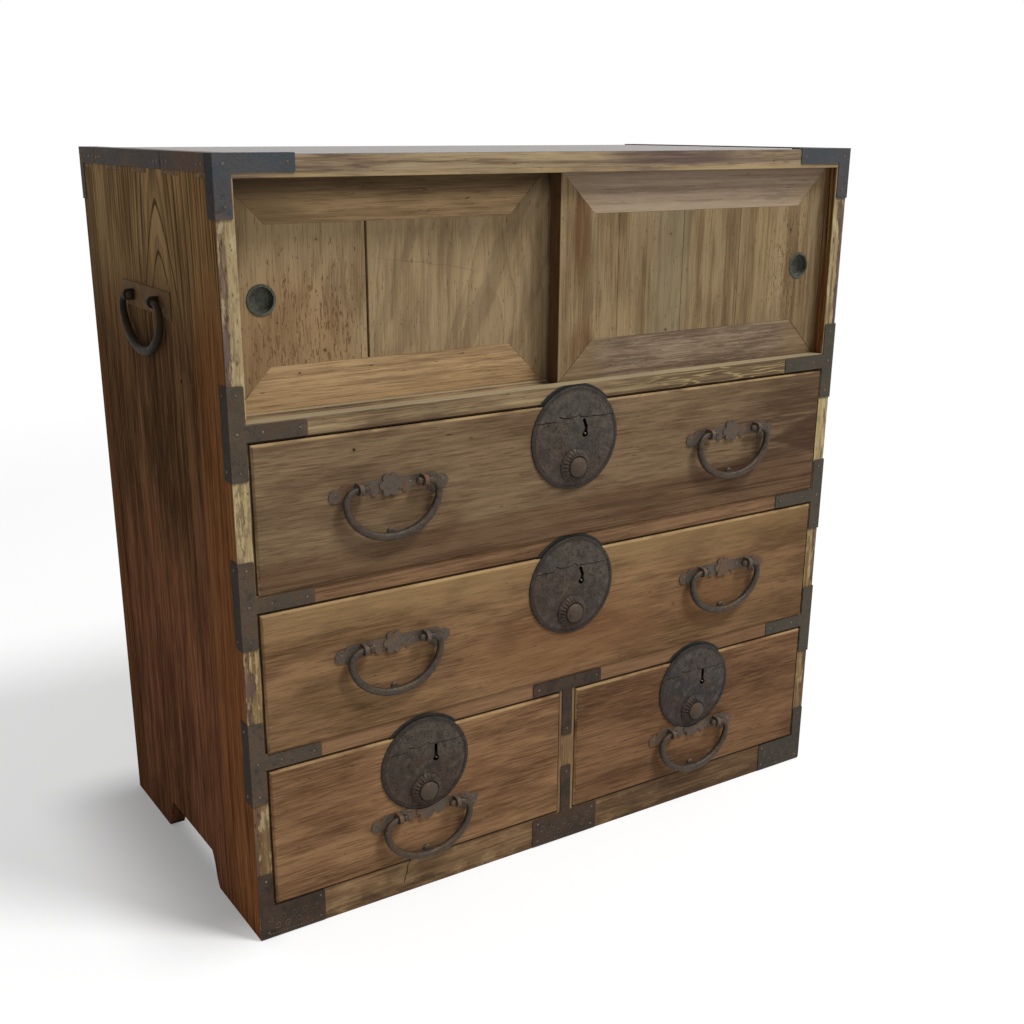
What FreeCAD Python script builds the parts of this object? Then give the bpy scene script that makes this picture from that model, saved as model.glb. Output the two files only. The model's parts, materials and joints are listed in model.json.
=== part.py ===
import FreeCAD, Part
import os
from math import cos, hypot, sin, pi, radians

# A clothing chest in one section: a boarded carcass with two sliding doors above,
# two long drawers, and two short drawers side by side, all with iron fittings.
# Millimetres. X to the right, Y to the back, Z up. The origin lies on the floor, in the
# middle of the space that the chest and its fittings take up.

# Carcass boards
chest_width = 880.0
chest_depth = 452.0
side_thickness = 20.0
top_thickness = 23.0
bottom_thickness = 15.0
back_thickness = 8.0
housing_depth = 6.0
back_rebate_width = 10.0
finger_count = 9
back_board_count = 3
back_lap = 9.0

# Heights of what is stacked in the front, from the floor up
base_rail_height = 45.0
short_drawer_opening = 174.0
long_drawer_opening = 169.0
door_opening = 245.0
rail_thickness = 22.0

# Rails, shelves and partition
base_rail_depth = 24.0
rail_depth = 60.0
sill_depth = 82.0
dust_board_thickness = 8.0
floor_board_thickness = 12.0
cleat_width = 16.0
partition_thickness = 24.0

# Arches cut in the lower edge of the side panels
arch_foot_gap = 186.0
arch_crown_width = 146.0
arch_height = 45.0
arch_ogee = 1.6

# Sliding doors and their tracks
door_thickness = 20.0
track_lip = 16.5
track_ridge = 5.5
track_play = 0.5
sill_groove_depth = 3.0
head_groove_depth = 10.0
head_entry = 7.0
left_door_width = 414.5
right_door_width = 432.5
outer_margin = 48.0
left_meeting_margin = 61.0
right_meeting_margin = 50.0
bottom_batten_height = 51.0
top_batten_height = 55.0
tongue_length = 5.0
tongue_thickness = 6.0
left_board_gap = 3.0
right_board_gap = 0.6
left_board_joint_shares = [0.4]
right_board_joint_shares = [0.203, 0.437, 0.656]
pull_inset = 41.0
pull_height_share = 0.487
pull_flange_radius = 17.0
pull_cup_radius = 15.0
pull_wall = 1.0
pull_depth = 9.0

# Drawers
drawer_front_thickness = 20.0
drawer_proud = 3.0
drawer_lip = 8.0
drawer_gap = 1.5
run_gap = 0.3
drawer_chamfer = 2.2
drawer_side_thickness = 12.0
drawer_side_inset = 0.5
drawer_side_drop = 4.0
drawer_bottom_thickness = 7.0
drawer_back_thickness = 12.0
drawer_back_gap = 14.0
drawer_finger_count = 5

# Round locks
long_lock_radius = 64.0
short_lock_radius = 61.0
lock_drop = 44.0
lock_plate_thickness = 1.6
lock_dome_rise = 0.8
keyhole_x = 14.5
keyhole_low = 4.0
keyhole_high = 21.0
keyhole_bend = 1.8
keyhole_slot = 4.6
keyhole_eye_radius = 4.3
case_half_width = 30.0
case_above = 30.0
case_below = 48.0
case_depth = 11.0
keyhole_depth = 5.0
strike_margin = 3.5
strike_thickness = 1.5
strike_edge = 0.6

# Push buttons and their fluted collars
button_drop = 35.0
button_radius = 12.5
button_height = 12.6
button_cap_rise = 4.6
button_travel = 3.0
button_stem_radius = 5.0
button_stem_entry = 6.0
button_play = 0.3
pin_play = 0.1
collar_radius = 21.5
collar_height = 7.0
collar_edge = 1.4
collar_crown = 2.6
collar_gap = 0.8
flute_count = 24
flute_depth = 1.5
flute_width = 3.2

# Bail handles on the drawers
bail_eye_x = 41.0
bail_half_width = 59.0
bail_drop = 60.0
bail_shoulder = 13.0
bail_end_radius = 3.7
bail_middle_radius = 5.0
bail_pin_radius = 3.0
bail_knob_radius = 4.5
bail_steps = 9
bail_facets = 8
bail_play = 0.3
eye_thickness = 5.0
eye_radius = 6.4
eye_stand = 9.0
long_handle_share = 0.2909
long_handle_rise = 20.0
short_handle_drop = 19.0

# Backplates of the drawer handles
handle_plate_length = 152.0
handle_plate_top = 6.0
handle_plate_strip = 14.0
handle_plate_end = 24.0
handle_plate_thickness = 1.5
end_lobe_radius = 8.0
boss_radius = 9.0
boss_petal_radius = 5.0
boss_petals = 6
boss_thickness = 2.8
fringe_lobe_radius = 4.2
fringe_lobe_x = 20.0
striker_radius = 4.5
striker_rise = 4.0

# Carrying handles on the side panels
side_eye_y = 43.0
side_bail_half_width = 66.0
side_bail_drop = 60.0
side_bail_radius = 5.5
side_eye_stand = 8.5
side_handle_height = 729.0
side_handle_depth_share = 0.52
side_plate_length = 168.0
side_plate_top = 14.0
side_plate_strip = 28.0
side_plate_end = 33.0
side_plate_ear = 26.0
side_plate_corner = 3.5

# Flat iron fittings
iron = 1.2
arm_width = 18.0
arm_corner = 2.0
side_wrap = 18.0
t_plate_height = 102.0
t_plate_arm = 88.0
corner_arm = 87.0
corner_leg = 62.0
base_plate_arm = 84.0
base_plate_leg = 86.0
base_plate_height = 42.0
base_plate_lift = 1.0
centre_bar = 108.0
centre_stem_width = 15.5
centre_stem_drop = 66.0
centre_base_length = 104.0
centre_base_height = 40.0
centre_base_stem_top = 110.0
lid_width = 20.0
front_strap_share = 0.2876
rear_strap_share = 0.5265
strap_joint = 1.5
back_cap_leg = 43.0
back_cap_leg_width = 13.0

cut_over = 1.0

# Levels and planes that everything else is set out from
base_top = base_rail_height
lower_rail_bottom = base_top + short_drawer_opening
lower_rail_top = lower_rail_bottom + rail_thickness
upper_rail_bottom = lower_rail_top + long_drawer_opening
upper_rail_top = upper_rail_bottom + rail_thickness
sill_bottom = upper_rail_top + long_drawer_opening
sill_top = sill_bottom + rail_thickness
head_bottom = sill_top + door_opening
chest_height = head_bottom + top_thickness

lock_reach = lock_plate_thickness + lock_dome_rise + button_height
handle_reach = eye_stand + max(eye_radius, bail_middle_radius)
front_reach = drawer_proud + max(lock_reach, handle_reach)
front = (front_reach - chest_depth - iron) / 2
back = front + chest_depth
half = chest_width / 2
inner = half - side_thickness
board_back = back - back_thickness
housed = inner + housing_depth

track_width = door_thickness + 2 * track_play
front_track = front + track_lip
rear_track = front_track + track_width + track_ridge
drawer_face = front - drawer_proud
side_handle_y = front + side_handle_depth_share * chest_depth
partition_half = partition_thickness / 2
strap_start = front + side_wrap + strap_joint
front_strap_end = strap_start + front_strap_share * chest_depth
rear_strap_end = front_strap_end + strap_joint + rear_strap_share * chest_depth
long_handle_x = long_handle_share * chest_width


def block(x0, x1, y0, y1, z0, z1):
    """A board given by its faces."""
    corner = FreeCAD.Vector(x0, y0, z0)
    return Part.makeBox(x1 - x0, y1 - y0, z1 - z0, corner)


def rod_y(radius, x, z, y0, y1):
    """A round bar or bore that runs from front to back."""
    return Part.makeCylinder(radius, y1 - y0, FreeCAD.Vector(x, y0, z), FreeCAD.Vector(0, 1, 0))


def rod_x(radius, y, z, x0, x1):
    """A round bar or bore that runs from left to right."""
    return Part.makeCylinder(radius, x1 - x0, FreeCAD.Vector(x0, y, z), FreeCAD.Vector(1, 0, 0))


def mirrored(shape):
    """The same piece on the right-hand side of the chest."""
    return shape.mirror(FreeCAD.Vector(0, 0, 0), FreeCAD.Vector(1, 0, 0))


def plate_from(points, y0, y1):
    """A flat piece with a straight-sided outline in the plane of the front."""
    kept = [point for point, after in zip(points, points[1:] + points[:1]) if point != after]
    corners = [FreeCAD.Vector(x, y0, z) for x, z in kept]
    outline = Part.makePolygon(corners + corners[:1])
    return Part.Face(outline).extrude(FreeCAD.Vector(0, y1 - y0, 0))


def bar_plate(x0, x1, z0, z1, y0, y1, corner):
    """A flat bar in the plane of the front, with its corners rounded."""
    bar = block(x0, x1, y0, y1, z0, z1)
    upright = [e for e in bar.Edges if abs(e.Vertexes[0].Y - e.Vertexes[1].Y) > corner / 10]
    radius = min(corner, (x1 - x0) / 2.1, (z1 - z0) / 2.1)
    standing = [e for e in upright if abs(e.Vertexes[0].X - e.Vertexes[1].X) < radius / 10]
    return bar.makeFillet(radius, standing)


def save(name, shapes):
    """One piece, or one group of separate like pieces, in its own file."""
    shape = shapes[0] if len(shapes) == 1 else Part.makeCompound(shapes)
    shape.exportStep("parts/" + name + ".step")


# Carcass

finger_pitch = chest_depth / finger_count


def finger_blocks(x0, x1):
    """The side panel's fingers, which pass up through the top board."""
    steps = range(1, finger_count, 2)
    return [block(x0, x1, front + i * finger_pitch, front + (i + 1) * finger_pitch,
                  head_bottom, chest_height) for i in steps]


def arch_cutter():
    """The opening between the front and back foot, with ogee ends."""
    middle = front + chest_depth / 2
    foot = arch_foot_gap / 2
    crown = arch_crown_width / 2
    waist = (foot + crown) / 2
    rise = arch_height / 2

    def spot(y, z):
        return FreeCAD.Vector(-half - cut_over, middle + y, z)

    edges = []
    for way in (1, -1):
        low = [spot(way * foot, 0), spot(way * ((foot + waist) / 2 - arch_ogee), rise / 2),
               spot(way * waist, rise)]
        high = [spot(way * waist, rise), spot(way * ((waist + crown) / 2 + arch_ogee), rise * 3 / 2),
                spot(way * crown, arch_height)]
        edges += [Part.Arc(*low).toShape(), Part.Arc(*high).toShape()]
    edges.append(Part.LineSegment(spot(-crown, arch_height), spot(crown, arch_height)).toShape())
    edges.append(Part.LineSegment(spot(-foot, 0), spot(foot, 0)).toShape())
    outline = Part.Wire(Part.__sortEdges__(edges))
    return Part.Face(outline).extrude(FreeCAD.Vector(side_thickness + 2 * cut_over, 0, 0))


def side_panel():
    """The left-hand panel, housed for every shelf and rail, with an arch between its feet."""
    panel = block(-half, -inner, front, back, 0, head_bottom)
    panel = panel.fuse(finger_blocks(-half, -inner))
    housings = [
        (front, front + base_rail_depth, 0, base_top),
        (front + base_rail_depth, board_back, base_top - bottom_thickness, base_top),
        (front, front + rail_depth, lower_rail_bottom, lower_rail_top),
        (front + rail_depth, board_back, lower_rail_top - dust_board_thickness, lower_rail_top),
        (front, front + rail_depth, upper_rail_bottom, upper_rail_top),
        (front + rail_depth, board_back, upper_rail_top - dust_board_thickness, upper_rail_top),
        (front, front + sill_depth, sill_bottom, sill_top),
        (front + sill_depth, board_back, sill_top - floor_board_thickness, sill_top),
    ]
    cutters = [block(-housed, -inner, y0, y1, z0, z1) for y0, y1, z0, z1 in housings]
    cutters.append(block(-inner - back_rebate_width, -inner, board_back, back,
                         base_top - bottom_thickness, head_bottom))
    cutters.append(arch_cutter())
    return panel.cut(cutters).removeSplitter()


def track_pair(z0, z1, x_end):
    """The two grooves that the doors run in."""
    return [block(-x_end, x_end, y, y + track_width, z0, z1) for y in (front_track, rear_track)]


def top_board():
    """The top, finger-jointed to the sides, with the door grooves in its underside."""
    board = block(-half, half, front, back, head_bottom, chest_height)
    cutters = finger_blocks(-half, -inner) + finger_blocks(inner, half)
    cutters += track_pair(head_bottom, head_bottom + head_groove_depth, inner)
    return board.cut(cutters)


def door_sill():
    """The rail under the doors, with the shallow lower grooves."""
    sill = block(-housed, housed, front, front + sill_depth, sill_bottom, sill_top)
    return sill.cut(track_pair(sill_top - sill_groove_depth, sill_top, inner))


def cross_rail(z0):
    return block(-housed, housed, front, front + rail_depth, z0, z0 + rail_thickness)


def partition_slot(y0, y1, z0, z1):
    return block(-partition_half, partition_half, y0, y1, z0, z1)


def lower_rail():
    rail = cross_rail(lower_rail_bottom)
    return rail.cut(partition_slot(front, front + rail_depth, lower_rail_bottom,
                                   lower_rail_bottom + housing_depth))


def base_rail():
    rail = block(-housed, housed, front, front + base_rail_depth, 0, base_top)
    return rail.cut(partition_slot(front, front + base_rail_depth, base_top - housing_depth, base_top))


def bottom_board():
    board = block(-housed, housed, front + base_rail_depth, board_back,
                  base_top - bottom_thickness, base_top)
    return board.cut(partition_slot(front + base_rail_depth, board_back,
                                    base_top - housing_depth, base_top))


def dust_board(z_top):
    return block(-housed, housed, front + rail_depth, board_back, z_top - dust_board_thickness, z_top)


def compartment_floor():
    return block(-housed, housed, front + sill_depth, board_back,
                 sill_top - floor_board_thickness, sill_top)


def cleats():
    """Strips on the side panels that carry the dust boards and the compartment floor."""
    rows = [
        (front + rail_depth, lower_rail_bottom, lower_rail_top - dust_board_thickness),
        (front + rail_depth, upper_rail_bottom, upper_rail_top - dust_board_thickness),
        (front + sill_depth, sill_bottom, sill_top - floor_board_thickness),
    ]
    left = [block(-inner, -inner + cleat_width, y0, board_back, z0, z1) for y0, z0, z1 in rows]
    return left + [mirrored(cleat) for cleat in left]


def centre_partition():
    """The board between the two short drawers, let into the rails and boards round it."""
    z0 = base_top - housing_depth
    under_rail = partition_slot(front, front + rail_depth, z0, lower_rail_bottom + housing_depth)
    under_board = partition_slot(front + rail_depth, board_back, z0,
                                 lower_rail_top - dust_board_thickness)
    return under_rail.fuse(under_board).removeSplitter()


def back_boards():
    """Level boards that lap one over the next, nailed in the rebates of the side panels."""
    edge = inner + back_rebate_width
    foot = base_top - bottom_thickness
    height = (head_bottom - foot) / back_board_count
    middle = back - back_thickness / 2
    boards = []
    for i in range(back_board_count):
        z0 = foot + i * height
        board = block(-edge, edge, board_back, back, z0, z0 + height)
        if i > 0:
            board = board.cut(block(-edge, edge, board_back, middle, z0, z0 + back_lap))
        if i < back_board_count - 1:
            board = board.fuse(block(-edge, edge, board_back, middle, z0 + height,
                                     z0 + height + back_lap))
        boards.append(board.removeSplitter())
    return boards


# Iron fittings that are nailed to the carcass

def wrapped_leg(z0, z1):
    """The leaf of a plate that is bent round the front edge onto the side panel."""
    leaf = block(-half - iron, -half, front - iron, front + side_wrap, z0, z1)
    ends = [e for e in leaf.Edges
            if abs(e.Vertexes[0].X - e.Vertexes[1].X) > iron / 2 and e.Vertexes[0].Y > front]
    return leaf.makeFillet(arm_corner, ends)


def side_t_plate(middle):
    """A T across the joint of a rail and the side panel, bent round the corner."""
    upright = bar_plate(-half - iron, -half + arm_width, middle - t_plate_height / 2,
                        middle + t_plate_height / 2, front - iron, front, arm_corner)
    square = block(-half - iron, -half + arm_corner, front - iron, front,
                   middle - t_plate_height / 2, middle + t_plate_height / 2)
    arm = bar_plate(-half, -half + t_plate_arm, middle - arm_width / 2, middle + arm_width / 2,
                    front - iron, front, arm_corner)
    leg = wrapped_leg(middle - t_plate_height / 2, middle + t_plate_height / 2)
    return upright.fuse([square, arm, leg]).removeSplitter()


def side_t_plates():
    rails = [(lower_rail_bottom + lower_rail_top) / 2, (upper_rail_bottom + upper_rail_top) / 2,
             (sill_bottom + sill_top) / 2]
    left = [side_t_plate(z) for z in rails]
    return left + [mirrored(plate) for plate in left]


def top_corner_bracket():
    """The corner of the front, wrapped over the top board and round the side panel."""
    z0 = chest_height - corner_leg
    foot = bar_plate(-half - iron, -half + arm_width, z0, chest_height, front - iron, front, arm_corner)
    square = block(-half - iron, -half + arm_corner, front - iron, front, z0, chest_height + iron)
    arm = bar_plate(-half, -half + corner_arm, chest_height - arm_width, chest_height + iron,
                    front - iron, front, arm_corner)
    crest = block(-half, -half + corner_arm, front - iron, front, chest_height - arm_corner,
                  chest_height + iron)
    lid = block(-half - iron, -half + corner_arm, front - iron, front + side_wrap,
                chest_height, chest_height + iron)
    leg = wrapped_leg(z0, chest_height + iron)
    return foot.fuse([square, arm, crest, lid, leg]).removeSplitter()


def edge_strap(y0, y1):
    """An angle iron over the upper edge of the side panel."""
    face = block(-half - iron, -half, y0, y1, chest_height - arm_width, chest_height + iron)
    lid = block(-half - iron, -half + lid_width, y0, y1, chest_height, chest_height + iron)
    return face.fuse(lid).removeSplitter()


def back_cap():
    """The corner iron at the back, with a leg down the back edge."""
    leg_foot = chest_height - arm_width - back_cap_leg
    strap = edge_strap(rear_strap_end + strap_joint, back + iron)
    leg = block(-half - iron, -half, back - back_cap_leg_width, back + iron, leg_foot, chest_height)
    wrap = block(-half - iron, -half + arm_width, back, back + iron, leg_foot, chest_height + iron)
    return strap.fuse([leg, wrap]).removeSplitter()


def top_edge_straps():
    left = [edge_strap(strap_start, front_strap_end),
            edge_strap(front_strap_end + strap_joint, rear_strap_end), back_cap()]
    return left + [mirrored(strap) for strap in left]


def base_corner_plate():
    z0 = base_plate_lift
    arm = bar_plate(-half, -half + base_plate_arm, z0, z0 + base_plate_height, front - iron, front,
                    arm_corner)
    leg = bar_plate(-half, -half + arm_width, z0, z0 + base_plate_leg, front - iron, front, arm_corner)
    return arm.fuse(leg).removeSplitter()


def centre_plates():
    """The T over the partition's head, and the block with a stem over its foot."""
    middle = (lower_rail_bottom + lower_rail_top) / 2
    bar = bar_plate(-centre_bar / 2, centre_bar / 2, middle - arm_width / 2, middle + arm_width / 2,
                    front - iron, front, arm_corner)
    stem = bar_plate(-centre_stem_width / 2, centre_stem_width / 2,
                     middle - arm_width / 2 - centre_stem_drop, middle, front - iron, front, arm_corner)
    base = bar_plate(-centre_base_length / 2, centre_base_length / 2, base_plate_lift,
                     base_plate_lift + centre_base_height, front - iron, front, arm_corner)
    post = bar_plate(-centre_stem_width / 2, centre_stem_width / 2,
                     base_plate_lift + centre_base_height / 2, centre_base_stem_top,
                     front - iron, front, arm_corner)
    return [bar.fuse(stem).removeSplitter(), base.fuse(post).removeSplitter()]


def strike_plate(x, lock_z, radius, rail_low, rail_high):
    """The segment on the rail that the upper part of a lock plate closes over."""
    disc = rod_y(radius + strike_margin, x, lock_z, front - strike_thickness, front)
    band = block(x - chest_width, x + chest_width, front - strike_thickness, front, rail_low,
                 rail_high - strike_edge)
    return disc.common(band)


# Sliding doors

def door_span(width, side):
    """Left and right edge of a closed door: side is -1 for the left door, 1 for the right."""
    outer = side * (inner - track_play)
    return sorted((outer, outer - side * width))


door_low = sill_top - sill_groove_depth + run_gap
door_high = head_bottom + head_entry
door_field_low = door_low + bottom_batten_height
door_field_high = door_high - top_batten_height


def pull_place(side):
    x = side * (inner - pull_inset)
    return x, sill_top + pull_height_share * door_opening + run_gap


def pull_pocket(side, y0):
    x, z = pull_place(side)
    return rod_y(pull_cup_radius, x, z, y0 - cut_over, y0 + pull_depth)


def boards_outline(edges, ends):
    """The boards as one sheet. At each corner a mitre runs out at 45 degrees from a batten's end."""
    points = []
    for side, z, up, batten in [(0, door_field_low, -1, bottom_batten_height),
                                (1, door_field_low, -1, bottom_batten_height),
                                (1, door_field_high, 1, top_batten_height),
                                (0, door_field_high, 1, top_batten_height)]:
        run = min(abs(edges[side] - ends[side]), batten)
        out = 1 if side else -1
        tip = (ends[side] + out * run, z + up * run)
        turn = [(ends[side], z), tip, (edges[side], tip[1])]
        points += turn[::-1] if out == up else turn
    return points


def batten_outline(edges, ends, z_edge, z_field):
    """The board across the top or the foot of a door, with its mitred ends."""
    height = abs(z_edge - z_field)
    up = 1 if z_edge > z_field else -1
    near = min(ends[0] - edges[0], height)
    far = min(edges[1] - ends[1], height)
    return [(ends[0], z_field), (ends[0] - near, z_field + up * near), (ends[0] - near, z_edge),
            (ends[1] + far, z_edge), (ends[1] + far, z_field + up * far), (ends[1], z_field)]


def tongue_band(x0, x1, y0, z0, z1):
    """What lies in the middle third of a door's thickness, where the tongues are."""
    middle = y0 + door_thickness / 2
    return block(x0, x1, middle - tongue_thickness / 2, middle + tongue_thickness / 2, z0, z1)


def door_battens(edges, ends, y0):
    """The top and bottom battens, grooved for the tongue along the ends of the boards."""
    groove = tongue_band(ends[0], ends[1], y0, door_field_low - tongue_length,
                         door_field_high + tongue_length)
    outlines = [batten_outline(edges, ends, door_low, door_field_low),
                batten_outline(edges, ends, door_high, door_field_high)]
    return [plate_from(points, y0, y0 + door_thickness).cut(groove) for points in outlines]


def door_boards(edges, ends, side, y0, joint_shares, gap):
    """Upright boards, tongued into one another and into both battens."""
    x0, x1 = edges
    joints = [x0 + share * (x1 - x0) for share in joint_shares]
    starts = [x0] + [x + gap / 2 for x in joints]
    stops = [x - gap / 2 for x in joints] + [x1]
    sheet = plate_from(boards_outline(edges, ends), y0, y0 + door_thickness)
    sheet = sheet.fuse(tongue_band(ends[0], ends[1], y0, door_field_low - tongue_length,
                                   door_field_high + tongue_length))
    boards = []
    for start, stop in zip(starts, stops):
        board = sheet.common(block(start, stop, y0, y0 + door_thickness, door_low, door_high))
        if stop < x1:
            tongue = tongue_band(stop, stop + gap + tongue_length, y0, door_field_low, door_field_high)
            board = board.fuse(tongue)
        if start > x0:
            board = board.cut(tongue_band(start, start + tongue_length, y0, door_low, door_high))
        boards.append(board.cut(pull_pocket(side, y0)).removeSplitter())
    return boards


def door_pull(side, y0):
    """A turned cup let into the door, with a thin flange on its face."""
    x, z = pull_place(side)
    points = [(0, pull_depth), (pull_cup_radius, pull_depth), (pull_cup_radius, 0),
              (pull_flange_radius, 0), (pull_flange_radius - pull_wall / 2, -pull_wall),
              (pull_cup_radius - pull_wall, -pull_wall), (pull_cup_radius - pull_wall, pull_depth / 2),
              (pull_cup_radius - 3 * pull_wall, pull_depth - pull_wall), (0, pull_depth - pull_wall)]
    corners = [FreeCAD.Vector(x + r, y0 + y, z) for r, y in points]
    profile = Part.Face(Part.makePolygon(corners + corners[:1]))
    return profile.revolve(FreeCAD.Vector(x, y0, z), FreeCAD.Vector(0, 1, 0), 360)


# Locks: a round plate, its collar and its case, and the button that moves

def turned_part(x, z, face, points):
    """A piece turned about the axis of a lock, from radius and reach in front of the face."""
    corners = [FreeCAD.Vector(x + r, face - reach, z) for r, reach in points]
    profile = Part.Face(Part.makePolygon(corners + corners[:1]))
    return profile.revolve(FreeCAD.Vector(x, face, z), FreeCAD.Vector(0, 1, 0), 360)


def keyhole(x, z, bend, y0, y1):
    """The hole for the key: a slot, bent on the long drawers, that ends in a round eye."""
    middle = (keyhole_low + keyhole_high) / 2
    spots = [(keyhole_x - bend, keyhole_high), (keyhole_x + bend, middle), (keyhole_x, keyhole_low)]
    half_slot = keyhole_slot / 2
    cuts = []
    for (u0, w0), (u1, w1) in zip(spots, spots[1:]):
        length = hypot(u1 - u0, w1 - w0)
        side_u = (w1 - w0) / length * half_slot
        side_w = (u0 - u1) / length * half_slot
        outline = [(u0 + side_u, w0 + side_w), (u1 + side_u, w1 + side_w),
                   (u1 - side_u, w1 - side_w), (u0 - side_u, w0 - side_w)]
        corners = [FreeCAD.Vector(x + u, y0, z + w) for u, w in outline]
        face = Part.Face(Part.makePolygon(corners + corners[:1]))
        cuts.append(face.extrude(FreeCAD.Vector(0, y1 - y0, 0)))
        cuts.append(rod_y(half_slot, x + u0, z + w0, y0, y1))
    eye = rod_y(keyhole_eye_radius, x + keyhole_x, z + keyhole_low, y0, y1)
    return eye.fuse(cuts)


def lock_plate(x, z, radius, bend):
    """A round plate, a little thicker in the middle than at the rim."""
    t = lock_plate_thickness
    plate = turned_part(x, z, drawer_face, [
        (0, 0), (radius, 0), (radius, t), (radius * 3 / 4, t + lock_dome_rise), (0, t + lock_dome_rise)])
    over = t + lock_dome_rise + cut_over
    cutters = [keyhole(x, z, bend, drawer_face - over, drawer_face + cut_over),
               rod_y(button_stem_radius + pin_play, x, z - button_drop,
                     drawer_face - over, drawer_face + cut_over)]
    return plate.cut(cutters)


def collar(x, z):
    """The ring round the button, with flutes that run from its bore to its foot."""
    foot = lock_plate_thickness + lock_dome_rise
    bore = button_radius + collar_gap
    crown = collar_crown
    ring = turned_part(x, z, drawer_face, [
        (bore, foot), (collar_radius, foot), (collar_radius, foot + collar_edge),
        (bore + crown, foot + collar_height), (bore, foot + collar_height)])
    cutters = []
    for i in range(flute_count):
        turn = 360 * i / flute_count
        low = foot + collar_edge
        high = foot + collar_height
        depth = flute_depth
        inner_end = [(bore + crown / 2, high - depth, 0), (bore + crown / 2, high + depth, flute_width),
                     (bore + crown / 2, high + depth, -flute_width)]
        outer_end = [(collar_radius + depth, low - depth, 0),
                     (collar_radius + depth, low + depth, flute_width),
                     (collar_radius + depth, low + depth, -flute_width)]
        ends = []
        for end in (inner_end, outer_end):
            corners = [FreeCAD.Vector(x + r, drawer_face - reach, z + side) for r, reach, side in end]
            ends.append(Part.makePolygon(corners + corners[:1]))
        groove = Part.makeLoft(ends, True, True)
        groove.rotate(FreeCAD.Vector(x, drawer_face, z), FreeCAD.Vector(0, 1, 0), turn)
        cutters.append(groove)
    return ring.cut(cutters)


def lock_case_block(x, z):
    return block(x - case_half_width, x + case_half_width, drawer_face, drawer_face + case_depth,
                 z - case_below, z + case_above)


def lock_case(x, z, bend):
    """The closed iron case in the drawer front, bored for the key and the button's stem."""
    bore_depth = button_stem_entry + button_travel + button_play
    cutters = [keyhole(x, z, bend, drawer_face, drawer_face + keyhole_depth),
               rod_y(button_stem_radius + pin_play, x, z - button_drop, drawer_face,
                     drawer_face + bore_depth)]
    return lock_case_block(x, z).cut(cutters)


def push_button(x, z):
    """A domed button on a stem that slides in the plate and the case."""
    foot = lock_plate_thickness + lock_dome_rise
    under = foot + button_travel + button_play
    shoulder = foot + button_height - button_cap_rise
    start = FreeCAD.Vector(x, drawer_face - foot - button_height, z)
    rim = FreeCAD.Vector(x + button_radius, drawer_face - shoulder, z)
    dome_radius = (button_radius ** 2 + button_cap_rise ** 2) / (2 * button_cap_rise)
    lean = radians(45) * button_cap_rise / button_radius
    middle = FreeCAD.Vector(x + dome_radius * sin(lean),
                            start.y + dome_radius * (1 - cos(lean)), z)
    lines = [(button_radius, shoulder), (button_radius, under), (button_stem_radius, under),
             (button_stem_radius, -button_stem_entry), (0, -button_stem_entry), (0, foot + button_height)]
    corners = [FreeCAD.Vector(x + r, drawer_face - reach, z) for r, reach in lines]
    edges = [Part.LineSegment(a, b).toShape() for a, b in zip(corners, corners[1:])]
    edges.append(Part.Arc(start, middle, rim).toShape())
    profile = Part.Face(Part.Wire(Part.__sortEdges__(edges)))
    return profile.revolve(start, FreeCAD.Vector(0, 1, 0), 360)


# Bail handles

def bail_line(t, eye_x, half_width, drop):
    """A point of the bail's middle line, and its direction, for t from 0 at one end to 1."""
    pin_end = eye_x + eye_thickness / 2 + bail_play
    way = 1 if t > 0.5 else -1
    s = abs(2 * t - 1)
    corner_share = 0.2
    if s > 1 - corner_share:
        a = (1 - s) / corner_share * pi / 2
        x = pin_end + (half_width - pin_end) * sin(a)
        z = -bail_shoulder * (1 - cos(a))
        dx = (half_width - pin_end) * cos(a)
        dz = -bail_shoulder * sin(a)
    else:
        a = (1 - corner_share - s) / (1 - corner_share) * pi / 2
        x = half_width * cos(a)
        z = -bail_shoulder - (drop - bail_shoulder) * sin(a)
        dx = -half_width * sin(a)
        dz = -(drop - bail_shoulder) * cos(a)
    return way * x, z, dx, way * dz


def bail(eye_x, half_width, drop, thickest):
    """A bail forged to eight flats, about its pivot: the X axis through the origin, hanging down."""
    rings = []
    for i in range(2 * bail_steps + 1):
        t = i / (2 * bail_steps)
        x, z, dx, dz = bail_line(t, eye_x, half_width, drop)
        radius = bail_end_radius + (thickest - bail_end_radius) * sin(pi * t)
        middle = FreeCAD.Vector(x, 0, z)
        across = FreeCAD.Vector(dz, 0, -dx).normalize()
        corners = []
        for k in range(bail_facets):
            a = 2 * pi * (k + 1 / 2) / bail_facets
            corners.append(middle + across * (radius * cos(a)) + FreeCAD.Vector(0, radius * sin(a), 0))
        rings.append(Part.makePolygon(corners + corners[:1]))
    rod = Part.makeLoft(rings, True, True)
    pin_end = eye_x + eye_thickness / 2 + bail_play
    knob_x = eye_x - eye_thickness / 2 - bail_play - bail_knob_radius
    pins = []
    for way in (-1, 1):
        x0, x1 = sorted((way * pin_end, way * knob_x))
        pins.append(rod_x(bail_pin_radius, 0, 0, x0, x1))
        pins.append(Part.makeSphere(bail_knob_radius, FreeCAD.Vector(way * knob_x, 0, 0)))
    return rod.fuse(pins)


def drawer_bail(x, z):
    piece = bail(bail_eye_x, bail_half_width, bail_drop, bail_middle_radius)
    piece.translate(FreeCAD.Vector(x, drawer_face - eye_stand, z))
    return piece


def side_bail():
    """The left-hand carrying handle, turned so that its pivot runs from front to back."""
    piece = bail(side_eye_y, side_bail_half_width, side_bail_drop, side_bail_radius)
    piece.rotate(FreeCAD.Vector(0, 0, 0), FreeCAD.Vector(0, 0, 1), 90)
    piece.translate(FreeCAD.Vector(-half - side_eye_stand, side_handle_y, side_handle_height))
    return piece


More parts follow.
